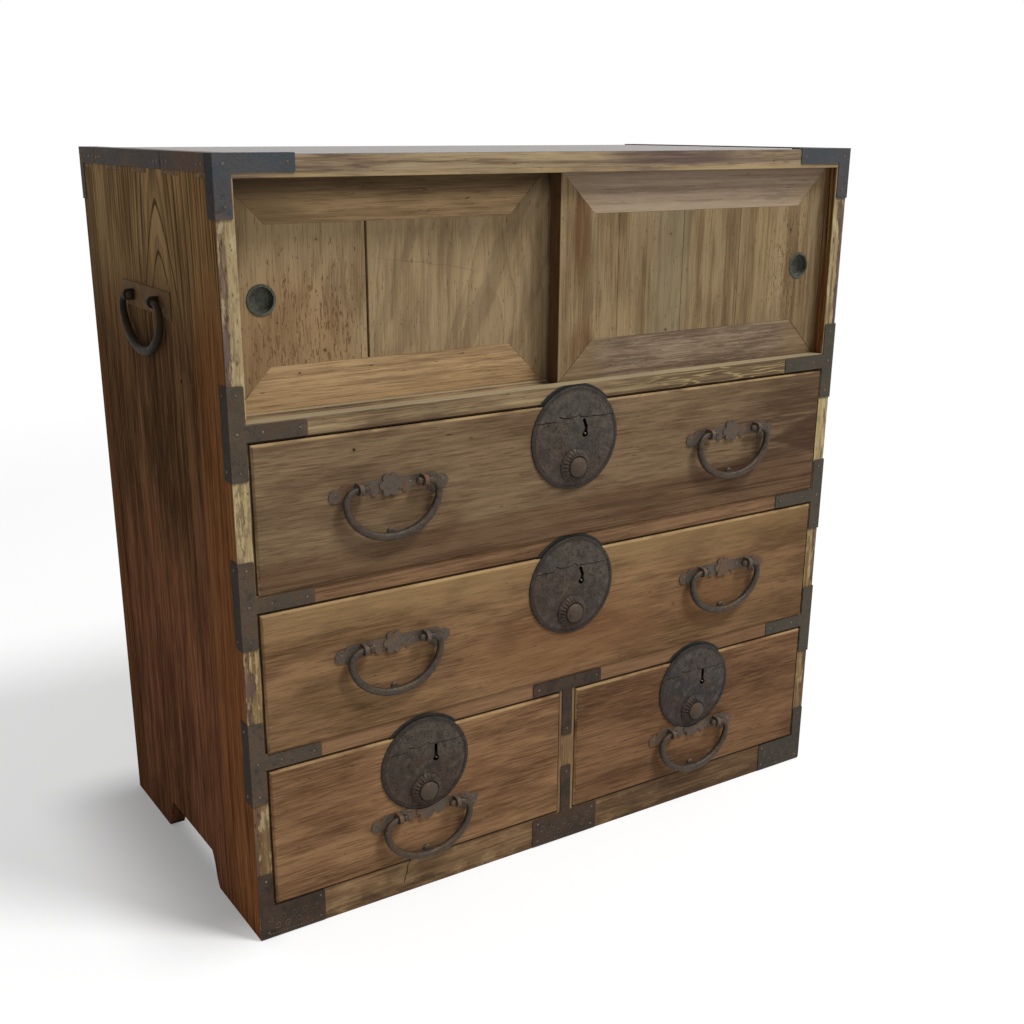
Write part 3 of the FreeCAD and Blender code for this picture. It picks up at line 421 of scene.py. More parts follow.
def rail_marks(finish, colour, streak, patch, fibre):
    """Painted shade along the rails' lower arrises, over the gaps above the drawers. The lower rail is
    paler.
    """
    level = finish.z + (streak - 0.5) * 0.001
    colour = finish.mix(finish.z.step(0.30, 0.29) * 0.24, colour, (166, 128, 92))
    for node in ("upper_rail", "lower_rail"):
        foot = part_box(node)[0].z
        # painted shade along the rail's foot, over the gap to the drawer
        gap = level.between(foot - 0.002, foot + 0.0018, 0.0003)
        colour = finish.mix(gap * 0.9, colour, painted_gap_shade)
    return colour


def base_marks(finish, colour, streak, patch, fibre):
    """The foot is stained by damp floors, with pale rubbed patches, an upright crack, and painted shade
    along its top, under the drawers.
    """
    blot = finish.cloud((finish.x * 22.0, 0.0, finish.z * 70.0), 4.0, 0.65)
    damp = 1 - (finish.z + (blot - 0.5) * 0.05).step(0.001, 0.016)
    line = finish.x + 0.243 - (finish.z - 0.025) * 0.25 + (blot - 0.5) * 0.010
    split = line.between(-0.0006, 0.0006, 0.0005)
    # painted shade along the top of the base, under the drawers
    gap = (finish.z + (blot - 0.5) * 0.002).step(0.0420, 0.0435)
    return finish.coats(
        colour,
        (blot.step(0.52, 0.62) * 0.40, (164, 136, 100)),
        (blot.step(0.46, 0.36) * 0.38, (84, 64, 48)),
        (finish.x.step(0.02, 0.12) * 0.5, (72, 52, 38)),
        (damp * 0.6, (66, 50, 36)),
        (split * finish.z.step(0.012, 0.016), (24, 15, 10)),
        (gap * 0.85, painted_gap_shade))


rail_tones = (140, 108, 78), (118, 88, 63), (78, 54, 38)
base_tones = (150, 120, 86), (122, 95, 68), (84, 62, 44)
sill_tones = (160, 136, 102), (124, 102, 78), (76, 58, 44)
for node, seed, tones, marks in (("upper_rail", 2.2, rail_tones, rail_marks),
                                 ("lower_rail", 5.1, rail_tones, rail_marks),
                                 ("base_rail", 8.8, base_tones, base_marks),
                                 ("door_sill", 6.4, sill_tones, sill_marks)):
    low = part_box(node)[0]
    dressed(node, paulownia(node + "_wood", "x", (front + 0.03, low.z - 0.05), 0.0055, seed, tones,
                            (0.0, 0.02), 0.45, marks=marks))


# Inside boards. Thin unfinished paulownia: dust boards under the drawers, the floor of the
# door compartment, the bottom, the cleats that carry them, the partition and the back.

inner_tones = (160, 132, 96), (138, 110, 78), (98, 74, 52)
for node, along, seed in (("dust_boards", "x", 3.1), ("compartment_floor", "x", 3.9),
                          ("bottom_board", "x", 4.7), ("shelf_cleats", "y", 5.3),
                          ("centre_partition", "z", 6.9)):
    dressed(node, paulownia(node + "_wood", along, (0.02, -0.05), 0.008, seed, inner_tones, (0.0, 0.02),
                            dots=0.08))


back_low, back_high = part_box("back_boards")
outer_corners = [corner.co for corner in frame["nodes"]["back_boards"].data.vertices
                 if corner.co.y > back_high.y - 0.0005]
back_laps = sorted({round(corner.z, 4) for corner in outer_corners
                    if back_low.z + 0.01 < corner.z < back_high.z - 0.01})


def back_marks(finish, colour, streak, patch, fibre):
    """Dark lines where the boards lap, and dust and damp along the foot."""
    for lap in back_laps:
        gap = (finish.z + (streak - 0.5) * 0.0008).between(lap - 0.0006, lap + 0.0006, 0.0003)
        colour = finish.mix(gap * 0.85, colour, (40, 28, 19))
    damp = 1 - (finish.z + (patch - 0.5) * 0.10).step(0.05, 0.12)
    return finish.mix(damp * 0.35, colour, (84, 66, 50))


dressed("back_boards", paulownia("back_wood", "x upright", (0.20, 0.30), 0.012, 7.7, inner_tones,
                                 (0.03, 0.0), 0.35, 1.5, dots=0.05, joints=back_laps, marks=back_marks))


# Flat irons. Sheet iron cut by hand, bent round the corners and nailed on with small
# round-headed nails: brackets at the top, straps along its ends, Ts over the rails' ends
# and plates at the foot.

def iron(name, tones, rough=0.55, seed=0.0, marks=None, metallic=0.2, returns=0.0, shine=0.10):
    """Blackened iron: a cool and a warm tone in clouds, brown where it has rusted, and dents.
    Where it is bent round on to a side panel, its returns are duller, and darker by painted shade."""
    finish = Finish(name)
    x, y, z = finish.x, finish.y, finish.z
    fog = finish.cloud((x * 30.0 + seed, y * 30.0, z * 30.0), 4.0, 0.65)
    rust = finish.cloud((x * 90.0 + seed, y * 90.0, z * 90.0 + 3.0), 5.0, 0.7)
    dents = finish.cloud((x * 380.0 + seed, y * 380.0, z * 380.0), 4.0, 0.65)
    cool, warm, brown = tones
    colour = finish.coats(
        finish.mix(fog.step(0.44, 0.56), cool, warm),
        (rust.step(0.49, 0.62) * 0.55, brown),
        (rust.step(0.47, 0.34) * 0.40, (42, 37, 32)),
        (dents.step(0.60, 0.74) * 0.20, (128, 116, 100)),
        (dents.step(0.40, 0.28) * 0.35, (30, 25, 21)))
    if marks:
        colour = marks(finish, colour, fog, rust)
    # painted shade: the returns on the side panels are darkened as well as made duller
    dull_shaded_return = abs(x).step(half + 0.0002, half + 0.0008) * returns
    colour = finish.mix(dull_shaded_return * 0.7, colour, (34, 31, 30))
    return finish.surface(colour, rough + (dents - 0.5) * 0.35 + (rust - 0.5) * 0.3 + dull_shaded_return * 0.3,
                          dents + rust, 0.0009, (1 - dull_shaded_return) * metallic, shine)


def bracket_marks(finish, colour, fog, rust):
    """The arm along the top edge is bluer than the leg below it."""
    upper = (finish.z + (fog - 0.5) * 0.04).step(0.852, 0.874)
    return finish.mix(upper * 0.55, colour, (66, 76, 82))


def flat_marks(finish, colour, fog, rust):
    """The irons on the right are greener than those on the left."""
    return finish.mix(finish.x.step(0.2, 0.3) * 0.4, colour, (62, 66, 58))


def strap_marks(finish, colour, fog, rust):
    """The straps nearest the front have kept their brown lacquer."""
    lacquer = (finish.y - front + (fog - 0.5) * 0.03).between(0.03, 0.105, 0.006)
    return finish.mix(lacquer * 0.7, colour, (104, 72, 48))


bracket_iron = iron("bracket_iron", ((76, 76, 78), (90, 80, 76), (80, 66, 60)), 0.52, 2.0,
                    bracket_marks, returns=1.0)
flat_iron = iron("flat_iron", ((80, 71, 61), (90, 76, 63), (88, 66, 50)), 0.55, 1.0, flat_marks,
                 returns=1.0)
foot_iron = iron("foot_iron", ((58, 50, 42), (72, 58, 48), (78, 56, 42)), 0.52, 4.0, flat_marks,
                 returns=1.0)
strike_iron = iron("strike_iron", ((44, 48, 48), (56, 54, 50), (60, 48, 40)), 0.5, 15.0)
dressed("top_corner_brackets", bracket_iron, 0.0004)
dressed("side_t_plates", flat_iron, 0.0004)
dressed("strike_plates", strike_iron, 0.0003)
dressed("centre_plates", foot_iron, 0.0004)
dressed("base_corner_plates", foot_iron, 0.0004)
dressed("top_edge_straps", iron("strap_iron", ((74, 70, 68), (92, 78, 66), (112, 80, 54)), 0.5, 7.0,
                                strap_marks, returns=0.6), 0.0004)


def put(name, shape, material, body, crease=0.7):
    """Turn a worked shape into a named piece that rides with a part of the chest."""
    data = bpy.data.meshes.new(name)
    bmesh.ops.recalc_face_normals(shape, faces=shape.faces)
    shape.to_mesh(data)
    shape.free()
    data.materials.append(material)
    data.shade_smooth()
    data.set_sharp_from_angle(angle=crease)
    piece = bpy.data.objects.new(name, data)
    bpy.context.scene.collection.objects.link(piece)
    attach(piece, body)
    return piece


def skin(shape, rings, capped=True):
    """Faces from each ring of corners to the next, and over both ends where it is capped."""
    for one, other in zip(rings, rings[1:]):
        for j in range(len(one)):
            m = (j + 1) % len(one)
            shape.faces.new((one[j], one[m], other[m], other[j]))
    if capped:
        shape.faces.new(rings[0])
        shape.faces.new(rings[-1])


def turned(shape, centre, axis, profile, around=14):
    """A solid turned about an axis, from its radii and lifts, closed at both ends."""
    axis = Vector(axis)
    side = axis.orthogonal().normalized()
    other = axis.cross(side)
    rings = []
    for radius, lift in profile:
        middle = Vector(centre) + axis * lift
        rings.append([shape.verts.new(
            middle + side * (radius * math.cos(a)) + other * (radius * math.sin(a)))
            for a in (2 * math.pi * k / around for k in range(around))])
    skin(shape, rings)


def lots(node):
    """The boxes of the separate solids in a node, from left to right."""
    shape = bmesh.new()
    shape.from_mesh(frame["nodes"][node].data)
    bmesh.ops.remove_doubles(shape, verts=shape.verts, dist=0.00001)
    unseen, boxes = set(shape.verts), []
    while unseen:
        reached = [unseen.pop()]
        for vert in reached:
            near = {edge.other_vert(vert) for edge in vert.link_edges} & unseen
            unseen -= near
            reached.extend(near)
        low, high = (Vector(bound(vert.co[i] for vert in reached) for i in range(3)) for bound in (min, max))
        boxes.append((low, high))
    shape.free()
    return sorted(boxes, key=lambda box: tuple(round(value, 4) for value in (*box[0], *box[1])))


nail_steel = iron("nail_steel", ((124, 112, 98), (104, 90, 74), (88, 66, 48)), 0.42, 9.0,
                  metallic=0.3)


def nails(name, places, body, size=0.0015, rise=0.0008, material=nail_steel):
    """Round-headed nails, each given by its place on the iron and the way that it faces."""
    shape = bmesh.new()
    for place, facing in places:
        own, high = size * random.uniform(0.88, 1.1), rise * random.uniform(0.8, 1.1)
        profile = [(own, -0.0003)]
        profile += [(own * math.cos(a), high * math.sin(a)) for a in (0.0, 0.35, 0.7, 1.05, 1.35)]
        turned(shape, place, facing, profile, 12)
    put(name, shape, material, body)


def curls(name, spirals, body, material, bead=0.0006):
    """Raised scrolls on an iron's face. Each has its middle, first and last radius, first angle
    and turns, and a call for how far forward that face lies at a place across and up."""
    shape = bmesh.new()
    section = ((-1.3, -0.3), (-0.7, 0.5), (0.0, 0.8), (0.7, 0.5), (1.3, -0.3))
    for centre, r0, r1, start, turns, stand in spirals:
        steps = max(8, int(abs(turns) * 26))
        loops = []
        for k in range(steps + 1):
            share = k / steps
            a = start + turns * 2 * math.pi * share
            out = Vector((math.cos(a), 0.0, math.sin(a)))
            r = r0 + (r1 - r0) * share
            own = bead * (0.35 + 0.65 * math.sin(math.pi * min(1.0, share * 0.9 + 0.12)))
            base = centre + out * r
            lift = stand(base.x, base.z)
            loops.append([shape.verts.new(base + out * (own * side) + Vector((0.0, -lift - own * high, 0.0)))
                          for side, high in section])
        skin(shape, loops)
    put(name, shape, material, body, 1.0)


random.seed(5)
iron_sheet = 0.0012
iron_face = front - iron_sheet
ahead = (0.0, -1.0, 0.0)


def near(value):
    """A nail is driven by eye, so it never sits quite in its place."""
    return value + random.uniform(-0.0008, 0.0008)


driven = []
inset = 0.010


def drive(low, high, places):
    """Nail the front of an iron. Each place is its way in from the chest's side, and its height."""
    way, outer = math.copysign(1, low.x), max(abs(low.x), abs(high.x))
    for across, height in places:
        driven.append((Vector((way * near(outer - across), iron_face, near(height))), ahead))
    return way, outer


for low, high in lots("side_t_plates"):
    bar = (low.z + high.z) / 2
    way, outer = drive(low, high, ((inset, low.z + inset), (inset, bar), (inset, high.z - inset),
                                   (0.038, bar), (0.080, bar)))
    for height in (low.z + inset, high.z - inset):
        driven.append((Vector((way * outer, near(front + inset), near(height))), (way, 0.0, 0.0)))
for low, high in lots("top_corner_brackets"):
    drive(low, high, ((0.011, high.z - inset), (0.080, high.z - inset), (0.011, low.z + 0.011)))
for low, high in lots("base_corner_plates"):
    drive(low, high, ((inset, high.z - inset), (0.009, low.z + 0.008), (0.078, low.z + 0.008),
                      (0.078, low.z + 0.036)))
for low, high in lots("centre_plates"):
    wide = high.x - low.x
    rows = (low.z + 0.008, low.z + 0.033) if low.z < 0.05 else (high.z - 0.009,)
    for height in rows:
        for across in (0.008, wide - 0.008):
            driven.append((Vector((near(low.x + across), iron_face, near(height))), ahead))
    stem = high.z - 0.009 if low.z < 0.05 else low.z + 0.009
    driven.append((Vector((near((low.x + high.x) / 2), iron_face, near(stem))), ahead))
for low, high in lots("top_edge_straps"):
    way, outer = drive(low, high, ())
    for along in (0.008, 0.020):
        for back in (low.y + along, high.y - along):
            driven.append((Vector((way * outer, near(back), near(high.z - 0.011))), (way, 0.0, 0.0)))
nails("iron_nails", driven, "carcass")
backed = []
edges = [back_low.z] + back_laps + [back_high.z]
for foot, head in zip(edges, edges[1:]):
    for share in (0.14, 0.50, 0.86):
        for across in (back_low.x + 0.006, back_high.x - 0.006):
            backed.append((Vector((near(across), back_high.y, near(foot + (head - foot) * share))),
                           (0.0, 1.0, 0.0)))
nails("back_nails", backed, "carcass", 0.0024, 0.0009)

chased, beads = [], []
scrolls, knobs, border = 9, 18, 0.010
for low, high in lots("base_corner_plates") + [box for box in lots("centre_plates") if box[0].z < 0.05]:
    start, width, foot = low.x + border, high.x - low.x - 2 * border, max(low.z, 0.0) + 0.009
    way = 1 if low.x < 0 else -1
    for k in range(scrolls):
        turns = 1.2 * way * (1 if k % 2 else -1)
        centre = Vector((start + width * (k + 0.5) / scrolls, 0.0, foot + 0.0105 + 0.0055 * (-1) ** k))
        chased.append((centre, 0.0010, 0.0050, random.uniform(0, 6.28), turns,
                       lambda x, z: iron_sheet - front))
    for k in range(knobs):
        place = Vector((start + width * (k + 0.5) / knobs, iron_face, foot - 0.004))
        beads.append((place, ahead))
rubbed_iron = iron("rubbed_iron", ((98, 86, 74), (84, 70, 58), (70, 54, 44)), 0.5, 17.0)
curls("foot_scrolls", chased, "carcass", rubbed_iron)
nails("foot_beading", beads, "carcass", 0.0011, 0.0006, rubbed_iron)


# Sliding doors. Each is a panel of upright boards with a batten across its head and foot,
# mitred at the ends. A turned cup is let into each near its outer edge.

def left_door_marks(finish, colour, streak, patch, fibre):
    """Redder near the pull, and greyer past the joint, with arched grain and a scratch there. Painted
    shadow darkens the head, where the top overhangs the door."""
    x, z = finish.x, finish.z
    red = spot(x, z, (-0.35, 0.69), (0.10, 0.11))
    sweep = finish.cloud((x * 20.0 - z * 9.0, 0.0, z * 4.0 + x * 2.0), 4.0, 0.55)
    beyond = x.step(-0.258, -0.25)
    off = x + 0.092 + (sweep - 0.5) * 0.03
    depth = z.through("EXPONENT", (z - 0.79) * 7.0) * 0.030
    arch = years(finish, away(off, depth) + (patch - 0.5) * 0.004, 0.013, 3.0)
    # painted shadow: the boards are darkened along the head, under the top
    shade = (z + (patch - 0.5) * 0.02).step(0.836, 0.864)
    line = (z + (x + 0.2) * 0.16 + (patch - 0.5) * 0.01).between(0.7740, 0.7746, 0.0003)
    return finish.coats(
        colour,
        (red * 0.35, (138, 98, 62)),
        (beyond * 0.22, (172, 148, 114)),
        (sweep.step(0.50, 0.60) * beyond * 0.42, (108, 91, 68)),
        (sweep.step(0.46, 0.36) * beyond * 0.35, (158, 138, 108)),
        (arch * beyond * z.step(0.825, 0.79) * 0.35, (96, 76, 54)),
        (shade * 0.72, (54, 42, 30)),
        (line * x.between(-0.235, -0.115, 0.02) * 0.5, (88, 66, 46)))


def right_door_marks(finish, colour, streak, patch, fibre):
    """A reddish streak in the innermost board and a green cast further out, dirt round the pull,
    and painted shade on its left-hand end face, which faces away from the lamp."""
    x, z = finish.x, finish.z
    stripe = finish.cloud((x * 85.0, 0.0, z * 2.0), 3.0, 0.6)
    green = x.between(0.125, 0.185, 0.008) * patch.step(0.38, 0.56)
    red = spot(x, z, (0.018, 0.80), (0.016, 0.075))
    red = red.most(spot(x, z, (0.022, 0.655), (0.026, 0.055)))
    dirt = spot(x, z, (0.385, 0.735), (0.035, 0.07)) * streak.step(0.35, 0.65)
    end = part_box("right_door_boards")[0].x
    # painted shade on the left-hand end face, which the lamp does not reach
    edge = 1 - x.step(end + 0.0004, end + 0.0010)
    return finish.coats(
        colour,
        (stripe.step(0.51, 0.58) * 0.40, (154, 136, 104)),
        (stripe.step(0.47, 0.40) * 0.40, (104, 84, 58)),
        (green * 0.45, (122, 116, 94)),
        (red * streak.step(0.3, 0.55) * 0.75, (96, 62, 42)),
        (dirt * 0.5, (92, 66, 46)),
        (edge * 0.8, (62, 38, 20)))


def batten_marks(low, high, shaded, mitres):
    """Dark joint lines at the battens' mitred ends. A shaded pair has painted shadow along the head and is
    worn in one corner. The other pair is paler, most of all at its head, with a little painted shade at its
    top."""
    def marks(finish, colour, streak, patch, fibre):
        x, z = finish.x, finish.z
        rise = (high.z - z).least(z - low.z)
        reach = (x - low.x).least(high.x - x)
        mitre = (reach - rise * mitres).between(-0.0006, 0.0010, 0.0004) * 0.75
        if shaded:
            faded = spot(x, z, (low.x + 0.02, high.z - 0.03), (0.10, 0.06))
            # painted shadow of the top along the head
            shade = (z + (patch - 0.5) * 0.02).step(0.836, 0.862)
            return finish.coats(
                colour,
                (mitre * (1 - faded), (46, 32, 22)),
                (faded * 0.6, (134, 113, 82)),
                (shade * 0.78, (50, 38, 28)))
        ends = (reach + (streak - 0.5) * 0.05).step(0.085, 0.035)
        head = z.step(0.80, 0.82)
        # painted shade just under the top
        dim = (z + (streak - 0.5) * 0.02).step(0.846, 0.862)
        return finish.coats(
            colour,
            (ends * 0.55, (142, 117, 84)),
            (mitre, (46, 32, 22)),
            (z.step(0.74, 0.72) * streak.step(0.40, 0.60) * 0.30, (92, 72, 56)),
            (head * (streak.step(0.62, 0.38) * 0.36 + 0.34), (176, 155, 132)),
            (dim * 0.25, (100, 84, 74)))
    return marks


door_looks = {
    "left_door": (((168, 144, 108), (146, 123, 90), (108, 85, 60)), 11.3,
                  ((-0.325, 0.700), (0.10, 0.11)), 0.12, 0.35, left_door_marks,
                  ((190, 158, 116), (168, 138, 100), (120, 93, 66)), 0.05),
    "right_door": (((160, 136, 100), (136, 113, 82), (94, 73, 50)), 14.9,
                   ((0.36, 0.74), (0.05, 0.10)), 0.40, 0.60, right_door_marks,
                   ((160, 138, 114), (134, 113, 92), (88, 70, 57)), 0.24)}
cup_iron = iron("cup_iron", ((92, 94, 84), (80, 80, 70), (58, 50, 40)), 0.42, 6.5)
for door, (tones, seed, pits, dots, streaky, marks, batten_tones, flecks) in door_looks.items():
    low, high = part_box(door + "_boards")
    boards = sorted(lots(door + "_boards"), key=lambda box: box[0].x)
    joints = [(one[1].x + next_one[0].x) / 2 for one, next_one in zip(boards, boards[1:])]
    centre = (low + high) / 2
    dressed(door + "_boards", paulownia(
        door + "_board_wood", "z", (centre.x, low.y + 0.05), 0.011, seed, tones, (0.10, 0.0), 0.14,
        streaky, pits, dots, joints=joints, marks=marks))
    corners = [point.co for point in frame["nodes"][door + "_battens"].data.vertices]
    inner = min(abs(point.z - centre.z) for point in corners)
    mitre = min(point.x for point in corners if abs(abs(point.z - centre.z) - inner) < 0.001) - low.x
    dressed(door + "_battens", paulownia(
        door + "_batten_wood", "x", (low.y + 0.05, 0.74), 0.009, seed + 2, batten_tones, (0.0, 0.02), 0.3,
        flecks=flecks, dots=0.08,
        marks=batten_marks(low, high, door == "left_door", mitre / (high.z - centre.z - inner))))
    dressed(door + "_pull", cup_iron, 0.0003)


# Drawers. Paulownia fronts with the grain level, lapped over thin sides that are
# finger-jointed to the back, on a thin bottom.

def worn_front(low, high, extra=None):
    """Marks of a drawer front: short dashes along the grain, what this front alone has, and
    arrises rubbed pale, most of all the upper one."""
    def marks(finish, colour, streak, patch, fibre):
        ends = (finish.x - low.x).least(high.x - finish.x).least(finish.z - low.z)
        head = high.z - finish.z
        rag = (streak - 0.5) * 0.006 + (fibre - 0.5) * 0.004
        bare = finish.cloud((finish.x * 14.0, finish.y * 14.0, finish.z * 14.0), 3.0, 0.6)
        rubbed_head = (1 - (head + rag).step(0.0004, 0.0032)) * bare.step(0.34, 0.58) * 0.75
        rubbed_ends = (1 - (ends + rag).step(0.0002, 0.0022)) * bare.step(0.45, 0.62) * 0.6
        dash = finish.cloud((finish.x * 24.0 + low.z * 50, 0.0, finish.z * 480.0), 3.0, 0.6)
        colour = finish.mix(dash.step(0.56, 0.63) * 0.26, colour, (66, 46, 33))
        colour = finish.mix(dash.step(0.44, 0.37) * 0.20, colour, (168, 140, 106))
        if extra:
            colour = extra(finish, colour, streak, patch, fibre)
        return finish.mix(rubbed_head.most(rubbed_ends), colour, (178, 150, 106))
    return marks


def upper_marks(finish, colour, streak, patch, fibre):
    """Redder lines rise gently along the foot, and a dark brown streak crosses the right end."""
    x, z = finish.x, finish.z
    rise = z - (x + 0.42) * 0.035
    foot = 1 - (rise + (streak - 0.5) * 0.03).step(0.452, 0.476)
    level = z + (streak - 0.5) * 0.022 + (patch - 0.5) * 0.012 + (fibre - 0.5) * 0.008
    grown = (x - 0.325) * 0.30
    stain = x.step(0.322, 0.334) * (grown - abs(level - 0.514)).step(-0.0030, 0.0030)
    lined = fibre.step(0.42, 0.58) * 0.30 + 0.50
    dusk = (x + (streak - 0.5) * 0.25).step(0.16, 0.40)
    dusk = dusk * (streak + (z - 0.5) * 1.2).step(0.42, 0.60)
    band = (level - (x - 0.10) * 0.10).between(0.462, 0.478, 0.004) * x.step(0.05, 0.25)
    return finish.coats(
        colour,
        (foot * 0.5, (94, 66, 46)),
        (foot * streak.step(0.5, 0.62) * 0.5, (70, 44, 30)),
        (stain * lined, (58, 41, 30)),
        (dusk * 0.55, (66, 47, 34)),
        (band * 0.45, (68, 46, 33)))


def middle_marks(finish, colour, streak, patch, fibre):
    """Yellower along the head and redder lower down, darker on the right, with a bruise by the
    lock."""
    x, z = finish.x, finish.z
    head = (z + (patch - 0.5) * 0.08).step(0.355, 0.400)
    red = spot(x, z, (0.0, 0.290), (0.22, 0.07)).most(spot(x, z, (0.24, 0.30), (0.10, 0.05)))
    bruise = spot(x, z, (-0.10, 0.305), (0.03, 0.02)) * fibre.step(0.4, 0.6)
    return finish.coats(
        colour,
        (head * 0.45, (160, 132, 90)),
        (red * 0.40, (116, 76, 48)),
        (x.step(0.10, 0.28) * 0.22, (82, 56, 36)),
        (bruise * 0.5, (92, 62, 46)))


drawer_looks = {
    "upper_drawer": (((136, 112, 85), (115, 92, 69), (80, 59, 42)), 0.007, (0.0, 0.03), 0.45,
                     upper_marks),
    "middle_drawer": (((152, 118, 83), (124, 95, 65), (78, 54, 36)), 0.010, (0.0, -0.02), 0.30,
                      middle_marks),
    "lower_left_drawer": (((160, 123, 87), (129, 95, 66), (82, 54, 36)), 0.009, (0.0, 0.08), 0.40,
                          None),
    "lower_right_drawer": (((136, 101, 71), (110, 79, 55), (72, 48, 33)), 0.008, (0.0, -0.05), 0.45,
                           None)}
for i, (drawer, (tones, ring, slope, streaky, extra)) in enumerate(drawer_looks.items()):
    low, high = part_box(drawer + "_front")
    dressed(drawer + "_front", paulownia(
        drawer + "_front_wood", "x", (low.y + 0.06, low.z + 0.05 * (i % 3)), ring, 21.0 + 3.3 * i, tones,
        slope, 0.32, streaky, dots=0.10, marks=worn_front(low, high, extra)))
    plain = paulownia(drawer + "_box_wood", "y", (0.1, low.z - 0.1), 0.008, 31.0 + i, inner_tones)
    dressed(drawer + "_box", plain)
    dressed(drawer + "_bottom", plain)


# Locks. A round iron plate nailed to the drawer front, with the closed case let in behind
# it, a fluted collar, and a domed button that is pushed in to free the bolt. A thin leaf
# covers the plate's head, and a round-ended post stands in the keyhole.

button_iron = iron("button_iron", ((78, 70, 60), (86, 72, 60), (80, 58, 48)), 0.46, 8.0)
lock_looks = {"upper_drawer": ((74, 70, 63), (84, 75, 65), (76, 61, 50)),
              "middle_drawer": ((70, 64, 58), (82, 70, 60), (78, 60, 50)),
              "lower_left_drawer": ((68, 60, 52), (78, 65, 54), (74, 56, 44)),
              "lower_right_drawer": ((60, 58, 57), (70, 61, 54), (74, 56, 42))}
plate_sheet, dome_rise, leaf_sheet = 0.0016, 0.0008, 0.0008
leaf_span, seam_shadow_width = 0.925, 0.0010


def lock_reach(radius, across, up):
    """How far the round plate stands off the drawer front at a place on it."""
    share = math.hypot(across, up) / radius
    return plate_sheet + dome_rise * min(1.0, max(0.0, (1 - share) * 4))


# painted shadow: a near-black strip laid under each leaf's lower edge
painted_seam_shadow = Finish("painted_seam_shadow").surface((22, 18, 16), 0.9)
seam = ((-1.0, 0.352), (-0.66, 0.375), (-0.42, 0.365), (-0.40, 0.465), (-0.30, 0.425), (-0.14, 0.405),
        (0.02, 0.440), (0.08, 0.470), (0.10, 0.415), (0.34, 0.400), (0.62, 0.392), (1.0, 0.40))


def seam_height(across):
    """The leaf's lower edge, as a share of the plate's radius."""
    for (x0, z0), (x1, z1) in zip(seam, seam[1:]):
        if across <= x1:
            return z0 + (z1 - z0) * (across - x0) / (x1 - x0)
    return seam[-1][1]


